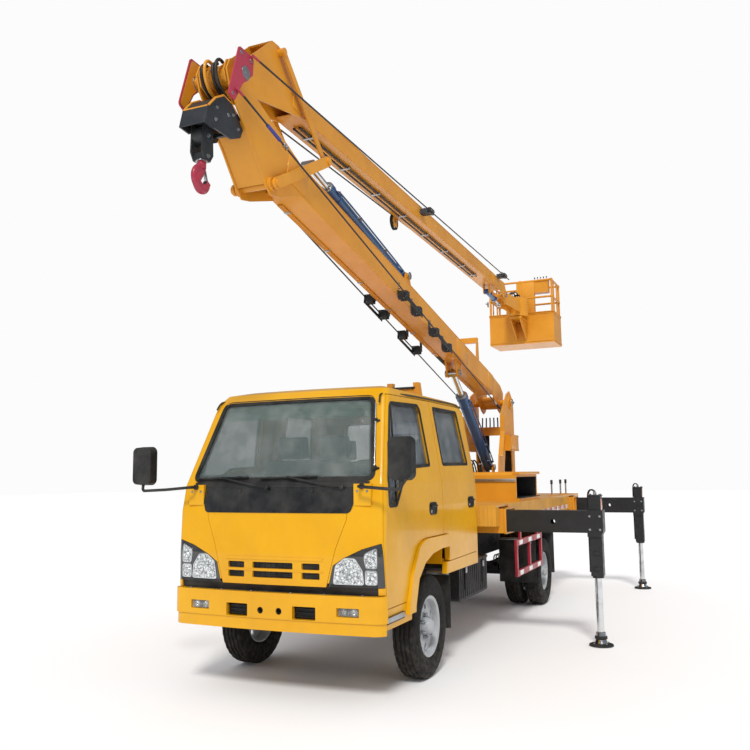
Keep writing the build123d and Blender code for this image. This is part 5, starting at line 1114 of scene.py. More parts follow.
def outrigger_dressing(place, name, side, x):
    """Hoses, banjo fittings, reflectors, bolts and lugs of one outrigger; they slide with its beam."""
    beam = Shape(f"{place}_outrigger_fittings_{name}", f"{place}_beam_{name}", ZINC, HOSE, AMBER, WHITE_REFLECTOR,
                 BEAM_BLACK)
    leg = side * LEG_Y
    # cap of the sleeve with its four bolts and two unions
    beam.block(at(x, leg, SLEEVE_TOP + 0.006), (0.122, 0.122, 0.012), look=4, bevel=0.002)
    for dx in (-0.045, 0.045):
        for dy in (-0.045, 0.045):
            beam.bolt(at(x + dx, leg + dy, SLEEVE_TOP + 0.012), (0, 0, 1), 0.013)
    for dx in (-0.02, 0.022):
        beam.drum(at(x + dx, leg, SLEEVE_TOP + 0.012), at(x + dx, leg, SLEEVE_TOP + 0.032), 0.014, sides=6)
        beam.drum(at(x + dx, leg, SLEEVE_TOP + 0.032), at(x + dx, leg, SLEEVE_TOP + 0.044), 0.01, sides=16)
        # short hose from the union down the inner face of the sleeve
        beam.pipe([at(x + dx, leg, SLEEVE_TOP + 0.042), at(x + dx, leg - side * 0.024, SLEEVE_TOP + 0.066),
                   at(x + dx, leg - side * 0.056, SLEEVE_TOP + 0.046),
                   at(x + dx, leg - side * 0.064, SLEEVE_TOP - 0.01),
                   at(x + dx, leg - side * 0.064, BEAM_Z + 0.11)], 0.007, look=1)
    # gland nut and wiper ring at the sleeve's foot
    beam.lathe(at(x, leg, SLEEVE_FOOT), (0, 0, -1), [(0.0335, 0.0), (0.052, 0.0), (0.052, 0.016), (0.048, 0.02),
                                                     (0.0345, 0.02)], look=4)
    # reflectors: amber on the beam's end, white band down the sleeve
    beam.block(at(x, leg + side * 0.0558, 1.215), (0.074, 0.0016, 0.19), look=2, bevel=0.0004)
    beam.block(at(x, leg + side * 0.0558, 1.07), (0.074, 0.0016, 0.07), look=3, bevel=0.0004)
    for face in (-1, 1):
        for y, z in ((1.835, 0.06), (1.835, -0.06), (1.925, 0.06), (1.925, -0.06)):
            beam.bolt(at(x + face * 0.075, side * y, BEAM_Z + z - 0.01), (face, 0, 0), 0.012)
        # lip round the lightening hole
        beam.lathe(at(x + face * 0.075, side * 1.5, BEAM_Z), (face, 0, 0), flat_ring(0.0225, 0.031, 0.001),
                   look=4, sides=32)
    # side lugs of the sleeve
    for dz in (-0.28, -0.42):
        for dx in (-0.06, 0.06):
            beam.block(at(x + dx, leg, BEAM_Z + dz), (0.012, 0.06, 0.03), look=4)
    beam.place(slot="black")
    foot = Shape(f"{place}_jack_foot_{name}", f"{place}_jack_{name}", RUBBER, ZINC)
    foot.lathe(at(x, leg, 0.001), (0, 0, 1), [(0.0, 0.0), (0.104, 0.0), (0.1075, 0.004), (0.1075, 0.014),
                                              (0.104, 0.0175), (0.062, 0.027), (0.0, 0.027)])
    foot.lathe(at(x, leg, 0.0), (0, 0, 1), [(0.047, 0.06), (0.056, 0.066), (0.055, 0.088), (0.046, 0.094)])
    foot.bolt_ring(at(x, leg, 0.0245), (0, 0, 1), 4, 0.078, 0.01, look=1, start=0.5)
    foot.place(slot="black")


def housing_dressing():
    """Edge frames round the mouths of the outrigger housings."""
    frames = Shape("housing_frames", "chassis", BOOM_YELLOW)
    for _, left_x, right_x in OUTRIGGERS:
        x = (left_x + right_x) / 2
        for side in (-1, 1):
            for dx in (-0.176, 0.176):
                frames.block(at(x + dx, side * 1.053, BEAM_Z), (0.01, 0.024, 0.246))
            for dz in (-0.118, 0.118):
                frames.block(at(x, side * 1.053, BEAM_Z + dz), (0.362, 0.024, 0.01))
    frames.place(slot="boom_yellow")


# ================================================================ turret
LUFF_PIVOT, RING_AT = (-5.05, 2.54), -4.79
LUFF_FOOT, LUFF_EYE = (-4.8, 1.64), (-3.31, 2.775)


def turret_dressing():
    """Bolt circle, slewing motor, pin keepers, lids and stiffeners on the cheeks, and the pipes up the cheeks."""
    ring = Shape("slew_ring_bolts", "chassis", ZINC, CHASSIS)
    ring.bolt_ring(at(RING_AT, 0, 1.331), (0, 0, 1), 28, 0.318, 0.006)
    ring.lathe(at(RING_AT, 0, 1.284), (0, 0, 1), [(0.3, 0.0), (0.326, 0.0)], look=1)
    ring.drum(at(RING_AT + 0.385, -0.3, 1.262), at(RING_AT + 0.385, -0.3, 1.33), 0.07, look=1, bevel=0.006)
    ring.place(slot="chassis_black")
    fittings = Shape("turret_fittings", "turret", ZINC, BOOM_YELLOW, CHASSIS, HOSE)
    fittings.bolt_ring(at(RING_AT, 0, 1.376), (0, 0, 1), 24, 0.325, 0.015)
    # slewing motor with its gearbox
    fittings.drum(at(-4.4, -0.13, 1.376), at(-4.4, -0.13, 1.48), 0.062, look=2, bevel=0.006)
    fittings.drum(at(-4.4, -0.13, 1.48), at(-4.4, -0.13, 1.6), 0.045, look=2, bevel=0.006)
    fittings.block(at(-4.4, -0.13, 1.62), (0.08, 0.06, 0.05), look=2, bevel=0.006)
    for y in (-0.15, -0.11):
        fittings.pipe([at(-4.4, y, 1.64), at(-4.41, y, 1.72), at(-4.52, y, 1.74), at(-4.7, y, 1.64),
                       at(-4.76, y, 1.4)], 0.01, look=3)
    for side in (-1, 1):
        # pin keepers of the boom's foot, with two bolts each
        spot = at(LUFF_PIVOT[0], side * 0.28, LUFF_PIVOT[1])
        fittings.disc(spot, side, 0.014, 0.058, look=1, bevel=0.003, sides=32)
        fittings.block(spot + Vector((0.0, side * 0.021, 0)), (0.12, 0.012, 0.034), bevel=0.002)
        for dx in (-0.042, 0.042):
            fittings.bolt(spot + Vector((dx, side * 0.027, 0)), (0, side, 0), 0.014)
        # lid and screws of the box on each cheek
        fittings.block(at(-4.93, side * 0.344, 1.97), (0.4, 0.006, 0.17), look=1, bevel=0.002)
        for corner_x in (-5.14, -4.72):
            for corner_z in (1.875, 2.065):
                fittings.bolt(at(corner_x, side * 0.342, corner_z), (0, side, 0), 0.012)
        # stiffener bars along the cheek's foot
        fittings.block(at(-4.79, side * 0.275, 1.4), (0.88, 0.02, 0.04), look=1, bevel=0.004)
        for x in (-5.15, -4.98, -4.6, -4.42):
            fittings.plate([(FRONT_AXLE + x - 0.004 + dx, z) for dx, z in ((0, 1.376), (0.01, 1.376),
                                                                           (0.01, 1.47), (0, 1.47))], "XZ",
                           *sorted((side * 0.262, side * 0.292)), look=1, bevel=0.002)
    # keeper discs of the luffing cylinder's foot pin
    for side in (-1, 1):
        fittings.disc(at(LUFF_FOOT[0], side * 0.085, LUFF_FOOT[1]), side, 0.008, 0.038)
    fittings.place(slot="boom_yellow")
    hoses = Shape("turret_hoses", "turret", HOSE, ZINC)
    for k, (y, x) in enumerate(((0.19, -5.1), (0.215, -5.13), (0.165, -5.12))):
        hoses.pipe([at(x, 0.262 - 0.01 * k, 1.96 + 0.03 * k), at(x - 0.03, y, 2.08), at(x - 0.02, y, 2.26),
                    at(x + 0.01, y, 2.4)], 0.012)
    for k in range(4):
        y = -0.19 + 0.035 * k
        hoses.pipe([at(-5.14, -0.265 + 0.01 * k, 1.86), at(-5.15, y, 1.78), at(-5.08, y, 1.6),
                    at(-4.9, y + 0.05, 1.45), at(-4.82, y * 0.6, 1.38)], 0.011)
    # the bundle that fills the frame between the cross bars, and the short drops under the boom's foot
    for k in range(9):
        y = 0.105 + 0.016 * k
        for way in (-1, 1):
            hoses.pipe([at(-5.205, way * y, 1.52), at(-5.225, way * (y + 0.01), 1.72),
                        at(-5.205 - 0.004 * k, way * (y - 0.008), 1.9), at(-5.235, way * y, 2.12)], 0.0095)
    for k in range(8):
        y = -0.2 + 0.057 * k
        hoses.pipe([at(-5.245, y, 2.19), at(-5.262, y, 2.27), at(-5.245, y * 0.96, 2.35)], 0.01)
    for z in (1.69, 1.53):
        hoses.block(at(-5.09 if z > 1.6 else -4.985, -0.15, z), (0.03, 0.15, 0.018), look=1)
    hoses.place(slot="black")


# ================================================================ lower boom
ELBOW = (1.687, 4.255)
FOLD_FOOT, LINK_MEET = (-1.62, 3.61), (0.42, 4.095)
LOWER_HALF, LOWER_HIGH, UPPER_HALF, UPPER_HIGH = 0.1255, 0.257, 0.104, 0.165
LOWER_SLOPE, UPPER_SLOPE, ROPE_SLOPE = 0.193, 0.021, 0.25456
ROPE_Y, UPPER_ROPE_Z = 0.214, 4.405
LOWER_TILT, UPPER_TILT, ROPE_TILT = (Matrix.Rotation(-math.atan(s), 3, "Y")
                                     for s in (LOWER_SLOPE, UPPER_SLOPE, ROPE_SLOPE))
ROPE_RUN = Vector((1, 0, ROPE_SLOPE)).normalized()


def lower_line(x, up=0.0):
    """Height of the lower boom's underside, or a line that far above it."""
    return 3.543 + LOWER_SLOPE * x + up


def upper_line(x, up=0.0):
    return 4.345 + UPPER_SLOPE * x + up


def lower_rope(x):
    """Height of the lower levelling ropes."""
    return 2.34 + ROPE_SLOPE * (x - LUFF_PIVOT[0])


def along(x, y, line, up=0.0):
    return at(x, y, line(x, up))


def lower_boom_dressing():
    """Weld beads, pipe runs on clips, rope rollers and guides, pin keepers, the elbow's hoses and wear pads."""
    welds = Shape("lower_boom_seams", "lower_boom", BOOM_YELLOW, ZINC, CHASSIS, BEAM_BLACK)
    for side in (-1, 1):
        for up in (0.004, LOWER_HIGH - 0.004):
            welds.drum(along(-4.6, side * (LOWER_HALF - 0.001), lower_line, up),
                       along(0.76, side * (LOWER_HALF - 0.001), lower_line, up), 0.005, sides=8)
        # keepers on the pins: foot, cylinder eye, cylinder foot, elbow
        for (x, z), y, radius in ((FOLD_FOOT, 0.095, 0.04), (LUFF_EYE, 0.084, 0.044), (ELBOW, 0.185, 0.056),
                                  (LUFF_PIVOT, 0.292, 0.05)):
            spot = at(x, side * y, z)
            welds.disc(spot, side, 0.01, radius, look=1, sides=28)
            welds.bolt(spot + Vector((0, side * 0.01, 0)), (0, side, 0), 0.016, look=1)
        # roller and guide brackets: channel plates, rollers and their pins round the ropes
        for x_from, x_to in ((-1.64, -1.16), (-2.6, -2.05)):
            for x in (x_from + 0.06, x_to - 0.06):
                z = lower_rope(x)
                for dx in (-0.038, 0.038):
                    welds.block(at(x + dx, side * 0.185, z - 0.006), (0.007, 0.092, 0.092), look=3)
                for dz in (0.027, -0.038):
                    welds.drum(at(x, side * 0.15, z + dz), at(x, side * 0.226, z + dz), 0.015, look=2, sides=20)
                    for dx in (-0.038, 0.038):
                        welds.bolt(at(x + dx, side * 0.2005, z + dz), (math.copysign(1, dx), 0, 0), 0.009, look=1)
                for up in (0.075, 0.125):
                    welds.bolt(at(x, side * (LOWER_HALF + 0.008), z + up), (0, side, 0), 0.013, look=1)
            middle = (x_from + x_to) / 2
            welds.block(at(middle, side * 0.226, lower_rope(middle) - 0.04), (x_to - x_from, 0.007, 0.036),
                        look=3, turn=ROPE_TILT)
    # doubler plates over the head's joint and the cylinder clevis
    for side in (-1, 1):
        for x, length in ((0.84, 0.3), (-3.31, 0.46), (-4.56, 0.26)):
            welds.block(along(x, side * (LOWER_HALF + 0.002), lower_line, LOWER_HIGH / 2),
                        (length, 0.008, LOWER_HIGH - 0.05), turn=LOWER_TILT)
    for x in (-4.35, -2.3, -0.6, 0.5):
        welds.block(along(x, 0.0, lower_line, LOWER_HIGH + 0.003), (0.09, 0.16, 0.008), bevel=0.002,
                    turn=LOWER_TILT)
        for y in (-0.055, 0.055):
            welds.bolt(along(x, y, lower_line, LOWER_HIGH + 0.006), (-0.19, 0, 1), 0.012, look=1)
    welds.place(slot="boom_yellow")
    pipes = Shape("lower_boom_pipes", "lower_boom", BOOM_YELLOW, HOSE, ZINC)
    for k in range(4):
        y = -0.081 - 0.0115 * k
        pipes.pipe([along(-4.5, y, lower_line, -0.008), along(-3.6, y, lower_line, -0.008)], 0.005)
        pipes.pipe([along(x, y, lower_line, -0.008) for x in (-3.0, -1.0, 0.72)], 0.005)
        pipes.pipe([along(x, y, lower_line, up) for x, up in ((-3.6, -0.008), (-3.3, -0.009), (-3.0, -0.008))],
                   0.0055, look=1)
    for x in (-4.3, -3.75, -2.9, -2.2, -1.5, -0.8, -0.1, 0.6):
        pipes.block(along(x, -0.098, lower_line, -0.007), (0.03, 0.052, 0.016), look=2, turn=LOWER_TILT)
    pipes.place(slot="boom_yellow")
    hoses = Shape("elbow_hoses", "lower_boom", HOSE, SLEEVE, ZINC, BOOM_YELLOW, RED)
    for k, y in enumerate((0.06, 0.02, -0.02, -0.06)):
        hoses.pipe([at(0.76, y, lower_line(0.76, 0.262)), at(1.0, y, 3.99 + 0.008 * k), at(1.25, y, 4.03),
                    at(1.42, y, 4.14), at(1.5, y, 4.2)], 0.012)
    # hoses that loop from the boom's top round the front of the elbow's drum
    for k, (y, reach) in enumerate(((0.062, 0.15), (0.02, 0.126), (-0.022, 0.158), (-0.064, 0.134))):
        turns = [(math.radians(-58 + 15.5 * step), reach) for step in range(6)] + [(math.radians(40),
                reach * 0.86), (math.radians(47), 0.096)]
        hoses.pipe([at(1.56, y * 0.8, 4.01), at(1.64, y * 0.9, 4.075)]
                   + [at(ELBOW[0] + r * math.cos(a), y, ELBOW[1] + r * math.sin(a)) for a, r in turns], 0.0115,
                   look=3 if k == 2 else 0)
    # blue sleeve on the near rope, and the two clamps behind it
    for side in (-1, 1):
        run, centre = ROPE_RUN, at(1.34, side * ROPE_Y, lower_rope(1.34))
        if side > 0:
            hoses.drum(centre - run * 0.09, centre + run * 0.09, 0.013, look=1, bevel=0.003)
        for step in (-0.15, -0.185):
            spot = centre + run * step
            hoses.block(spot, (0.022, 0.026, 0.03), look=2, bevel=0.004)
            hoses.bolt(spot + Vector((0, 0, 0.015)), (0, 0, 1), 0.009, look=2)
        # the rope's last stretch and its tapered red fork on the plate
        hoses.drum(at(1.655, side * ROPE_Y, lower_rope(1.655)), at(1.735, side * ROPE_Y, lower_rope(1.735)),
                   0.0075)
        hoses.drum(at(1.735, side * ROPE_Y, lower_rope(1.735)), at(1.815, side * ROPE_Y, lower_rope(1.815)),
                   0.0085, look=4, tip=0.0095)
    hoses.place(slot="black")


def sheave_dressing():
    """Sheave wheels, their pin, the orange lip along the cover and bolts of the sheave box."""
    box = Shape("sheaves", "lower_boom", IRON, BOOM_YELLOW, ZINC, SLATE)
    x, z, radius = 1.735, 3.955, 0.062
    for y in (-0.052, 0.052):
        box.lathe(at(x, y - 0.014, z), (0, 1, 0), [(0.014, 0.0), (radius, 0.0), (radius, 0.005),
                                                   (radius - 0.014, 0.014), (radius, 0.023), (radius, 0.028),
                                                   (0.014, 0.028)], sides=40)
    box.drum(at(x, -0.102, z), at(x, 0.102, z), 0.014, look=2, bevel=0.003)
    # folded plate that closes the front of the box
    tilt = Matrix.Rotation(math.atan2(0.036, 0.13), 3, "Y").inverted()
    box.block(at(1.982, 0, 3.862), (0.006, 0.2, 0.134), look=3, bevel=0.001, turn=tilt)
    for side in (-1, 1):
        ear = [(1.952, 3.926), (1.966, 3.926), (2.001, 3.797), (1.9, 3.79), (1.948, 3.866)]
        box.plate([(FRONT_AXLE + x, z) for x, z in ear], "XZ", *sorted((side * 0.0885, side * 0.0995)), look=3)
    lip = [(1.962, 3.926), (1.882, 4.013), (1.79, 4.069), (1.698, 4.054), (1.638, 4.003)]
    for side in (-1, 1):
        for (x0, z0), (x1, z1) in zip(lip, lip[1:]):
            box.drum(at(x0, side * 0.094, z0), at(x1, side * 0.094, z1), 0.008, look=1, sides=12)
        box.bolt(at(1.89, side * 0.104, 3.86), (0, side, 0), 0.016, look=2)
        for x, z in ((1.62, 3.9), (1.68, 3.975), (1.87, 3.95)):
            box.bolt(at(x, side * 0.1, z), (0, side, 0), 0.014, look=2)
    box.drum(at(lip[0][0], -0.094, lip[0][1]), at(lip[0][0], 0.094, lip[0][1]), 0.008, look=1, sides=12)
    box.place(slot="black")


def arc(start, middle, end):
    """Points on the circle through three places, from the first to the last."""
    steps = 14
    (ax, ay), (bx, by), (cx, cy) = start, middle, end
    turn = 2 * (ax * (by - cy) + bx * (cy - ay) + cx * (ay - by))
    a, b, c = ax * ax + ay * ay, bx * bx + by * by, cx * cx + cy * cy
    x = (a * (by - cy) + b * (cy - ay) + c * (ay - by)) / turn
    y = (a * (cx - bx) + b * (ax - cx) + c * (bx - ax)) / turn
    first, half, last = (math.atan2(p[1] - y, p[0] - x) for p in (start, middle, end))
    span = (last - first) % math.tau
    if not (half - first) % math.tau < span:
        span -= math.tau
    radius = math.hypot(ax - x, ay - y)
    return [(x + radius * math.cos(first + span * k / steps), y + radius * math.sin(first + span * k / steps))
            for k in range(steps + 1)]


def hook_dressing():
    """Red forged hook with its latch, swivel nut, cheek bolts and the sheave's grooved rim."""
    hook = Shape("hook", "hook_block", RED, ZINC, SLATE)
    centre = at(1.89, 0.0, 3.464)
    line = [centre + Vector((x, 0, z)) for x, z in ((0.0, 0.1), (0.0, 0.06), (0.03, 0.022), (0.052, -0.014),
                                                    (0.02, -0.058), (-0.03, -0.052), (-0.062, -0.022),
                                                    (-0.064, 0.004))]
    form = bmesh.new()
    widths = (0.02, 0.022, 0.027, 0.031, 0.03, 0.026, 0.02, 0.008)
    rings = []
    fine, sizes = [], []
    for i in range(len(line) - 1):
        before, after = line[max(0, i - 1)], line[min(len(line) - 1, i + 2)]
        for k in range(5):
            t = k / 5
            a, b, c, d = before, line[i], line[i + 1], after
            fine.append(0.5 * (2 * b + (c - a) * t + (2 * a - 5 * b + 4 * c - d) * t * t + (3 * b - a - 3 * c + d)
                               * t ** 3))
            sizes.append(widths[i] + (widths[i + 1] - widths[i]) * t)
    fine.append(line[-1])
    sizes.append(widths[-1])
    for i, (spot, size) in enumerate(zip(fine, sizes)):
        run = (fine[min(i + 1, len(fine) - 1)] - fine[max(i - 1, 0)]).normalized()
        across = Vector((0, 1, 0))
        outward = run.cross(across)
        rings.append([form.verts.new(spot + across * a * 0.85 + outward * b * 1.15) for a, b in spokes(20, size)])
    for here, after in zip(rings, rings[1:]):
        for k in range(20):
            form.faces.new((here[k], here[(k + 1) % 20], after[(k + 1) % 20], after[k]))
    form.faces.new(rings[-1])
    form.faces.new(rings[0][::-1])
    bmesh.ops.recalc_face_normals(form, faces=form.faces)
    hook.take(form, smooth=True)
    outer = arc((1.91, 3.555), (1.92, 3.4), (1.818, 3.46))
    inner = arc((1.845, 3.475), (1.898, 3.44), (1.872, 3.52))
    cover = [Vector((FRONT_AXLE + x, z)) for x, z in outer + inner + [(1.87, 3.555)]]
    for low, high in ((-0.0165, -0.0141), (0.0141, 0.0165)):
        hook.plate([(p.x, p.y) for p in cover], "XZ", low, high)
    hook.pipe([at(x, 0, z) for x, z in outer[::2]], 0.0185)
    hook.drum(at(1.89, 0, 3.54), at(1.89, 0, 3.59), 0.03, bevel=0.004)
    hook.drum(at(1.89, 0, 3.588), at(1.89, 0, 3.596), 0.04, look=1, bevel=0.002)
    hook.block(at(1.846, 0, 3.5), (0.01, 0.024, 0.09), look=1, turn=Matrix.Rotation(0.35, 3, "Y"))
    for side in (-1, 1):
        for x, z in ((1.89, 3.76), (1.89, 3.62), (1.852, 3.85), (1.928, 3.85)):
            hook.bolt(at(x, side * 0.048, z), (0, side, 0), 0.018, look=1)
        hook.lathe(at(1.89, side * 0.048, 3.76), (0, side, 0), flat_ring(0.03, 0.046, 0.004), look=2)
    hook.place(slot="red")


# ================================================================ upper boom
def upper_boom_dressing():
    """Elbow drum with its rings, seams, rope guides, pipe clips and pin keepers."""
    seams = Shape("upper_boom_seams", "upper_boom", BOOM_YELLOW, ZINC, BEAM_BLACK)
    for side in (-1, 1):
        for up in (0.004, UPPER_HIGH - 0.004):
            seams.drum(along(-5.0, side * (UPPER_HALF - 0.001), upper_line, up),
                       along(0.68, side * (UPPER_HALF - 0.001), upper_line, up), 0.005, sides=8)
        for x, length in ((0.74, 0.26), (-5.06, 0.3)):
            seams.block(along(x, side * (UPPER_HALF + 0.002), upper_line, UPPER_HIGH / 2),
                        (length, 0.008, UPPER_HIGH - 0.04), turn=UPPER_TILT)
        for x in (-2.0, -5.2):
            z = UPPER_ROPE_Z
            seams.block(at(x, side * ROPE_Y, z), (0.128, 0.04, 0.062), look=2, bevel=0.008)
            for dx in (-0.04, 0.04):
                seams.bolt(at(x + dx, side * 0.234, z), (0, side, 0), 0.014, look=1)
                seams.bolt(at(x + dx, side * 0.15, z + 0.025), (0, 0, 1), 0.013, look=1)
        spot = at(-5.64, side * 0.116, 4.215)
        seams.disc(spot, side, 0.008, 0.04, look=1)
        seams.bolt(spot + Vector((0, side * 0.008, 0)), (0, side, 0), 0.014, look=1)
    # raised rings of the drum between the root's cheeks
    for y in (-0.08, -0.04, 0.0, 0.04, 0.08):
        seams.lathe(at(ELBOW[0], y - 0.006, ELBOW[1]), (0, 1, 0), flat_ring(0.074, 0.082, 0.012), sides=40)
    for x in (-4.6, -3.4, -2.2, -1.0, 0.2):
        seams.block(along(x, 0.0, upper_line, UPPER_HIGH + 0.003), (0.07, 0.12, 0.008), bevel=0.002,
                    turn=UPPER_TILT)
        for y in (-0.04, 0.04):
            seams.bolt(along(x, y, upper_line, UPPER_HIGH + 0.006), (0, 0, 1), 0.011, look=1)
    seams.place(slot="boom_yellow")
    pipes = Shape("upper_boom_pipes", "upper_boom", HOSE, ZINC, BOOM_YELLOW)
    for k in range(3):
        y = -0.04 + 0.028 * k
        pipes.pipe([along(x, y, upper_line, -0.014) for x in (0.6, -2.0, -4.4)], 0.009, look=2 if k == 1 else 0)
    for x in (0.4, -0.3, -1.0, -1.7, -2.4, -3.1, -3.8, -4.3):
        pipes.block(along(x, -0.012, upper_line, -0.014), (0.028, 0.1, 0.022), look=1, turn=UPPER_TILT)
    pipes.place(slot="black")


def rope_ends():
    """Threaded ends, turnbuckles and forks of the four levelling ropes at the plates and the tip."""
    ends = Shape("rope_turnbuckles", "lower_boom", ZINC, IRON)
    for side in (-1, 1):
        spot = at(-4.64, side * ROPE_Y, lower_rope(-4.64))
        ends.drum(spot - ROPE_RUN * 0.11, spot + ROPE_RUN * 0.2, 0.011)
        ends.drum(spot - ROPE_RUN * 0.02, spot + ROPE_RUN * 0.13, 0.018, sides=6, look=1)
        ends.drum(spot + ROPE_RUN * 0.2, spot + ROPE_RUN * 0.25, 0.014)
    ends.place(slot="steel")
    ends = Shape("upper_rope_turnbuckles", "upper_boom", ZINC, IRON, HOSE, RED)
    for side in (-1, 1):
        spot = at(-5.1, side * ROPE_Y, UPPER_ROPE_Z)
        ends.drum(spot - Vector((0.12, 0, 0)), spot + Vector((0.12, 0, 0)), 0.011)
        ends.drum(spot - Vector((0.05, 0, 0)), spot + Vector((0.07, 0, 0)), 0.018, sides=6, look=1)
        ends.drum(at(1.415, side * ROPE_Y, UPPER_ROPE_Z), at(1.54, side * ROPE_Y, UPPER_ROPE_Z), 0.0075, look=2)
        ends.drum(at(1.54, side * ROPE_Y, UPPER_ROPE_Z), at(1.625, side * ROPE_Y, UPPER_ROPE_Z), 0.0085, look=3,
                  tip=0.0095)
    ends.place(slot="steel")
    plate = Shape("levelling_plate_fittings", "levelling_plates", ZINC, BOOM_YELLOW)
    # the far plate is enamelled boom yellow within a red rim
    outline = rounded([(FRONT_AXLE + ELBOW[0] + dx, ELBOW[1] + dz)
                       for dx, dz in ((0.068, 0.143), (-0.088, 0.138), (-0.078, 0.022), (0.048, -0.092),
                                      (0.134, -0.242), (0.186, -0.216))], 0.022)
    for low, high in ((-0.2035, -0.2008), (-0.1912, -0.1885)):
        plate.plate([(p.x, p.y) for p in outline], "XZ", low, high, look=1)
    for side in (-1, 1):
        for dx, dz in ((0.055, 0.12), (-0.07, 0.115), (0.15, -0.21)):
            plate.drum(at(ELBOW[0] + dx, side * 0.201, ELBOW[1] + dz),
                       at(ELBOW[0] + dx, side * 0.2048, ELBOW[1] + dz), 0.014, bevel=0.001)
        plate.drum(at(ELBOW[0], side * 0.201, ELBOW[1]), at(ELBOW[0], side * 0.205, ELBOW[1]), 0.046, bevel=0.001,
                   sides=32)
    plate.place(slot="red")


def cylinder_dressing():
    """Unions, pipes, gland nuts and nipples of the three boom cylinders."""
    rows = (("luff", LUFF_FOOT, LUFF_EYE, 0.07, 1.47), ("fold", FOLD_FOOT, LINK_MEET, 0.05, 1.75),
            ("level", (-4.98, 4.15), (-5.64, 4.085), 0.034, 0.4))
    for name, foot, eye, radius, length in rows:
        run = (at(eye[0], 0, eye[1]) - at(foot[0], 0, foot[1])).normalized()
        start = at(foot[0], 0, foot[1])
        side = Vector((0, 1, 0))
        over = run.cross(side)
        if over.z < 0:
            over.negate()
        body = Shape(f"{name}_cylinder_fittings", f"{name}_barrel", ZINC, BLUE)
        for reach in (0.12 if length > 1 else 0.1, length - 0.1 if length > 1 else length - 0.035):
            spot = start + run * reach + side * (radius - 0.006)
            body.drum(spot, spot + side * 0.022, 0.016 if length > 1 else 0.01, look=1, sides=6)
            body.drum(spot + side * 0.02, spot + side * 0.036, 0.01 if length > 1 else 0.007, sides=16)
        if length > 1:
            first = start + run * 0.12 + side * (radius + 0.022)
            last = start + run * (length - 0.1) + side * (radius + 0.022)
            body.pipe([first, first + run * 0.05 + side * 0.008, last - run * 0.05 + side * 0.008, last], 0.008,
                      look=1)
            for part in (0.3, 0.7):
                spot = first.lerp(last, part)
                body.block(spot - side * 0.008, (0.026, 0.034, 0.026))
            # welded rings round the barrel
            for reach in (0.2, length - 0.19):
                body.lathe(start + run * reach, run, [(radius - 0.001, 0.0), (radius + 0.006, 0.002),
                                                      (radius + 0.006, 0.014), (radius - 0.001, 0.016)], look=1)
        body.lathe(start + run * (length - 0.001), run, [(radius * 0.6, 0.0), (radius + 0.002, 0.0),
                                                         (radius + 0.001, 0.01), (radius * 0.6, 0.012)])
        body.place(slot="blue")


# ================================================================ basket
BASKET_FRONT, BASKET_BACK, BASKET_HALF = -7.08, -7.72, 0.54
BASKET_FLOOR, SHEET_TOP, RAIL_TOP, SWING = 3.69, 4.2, 4.76, -6.83


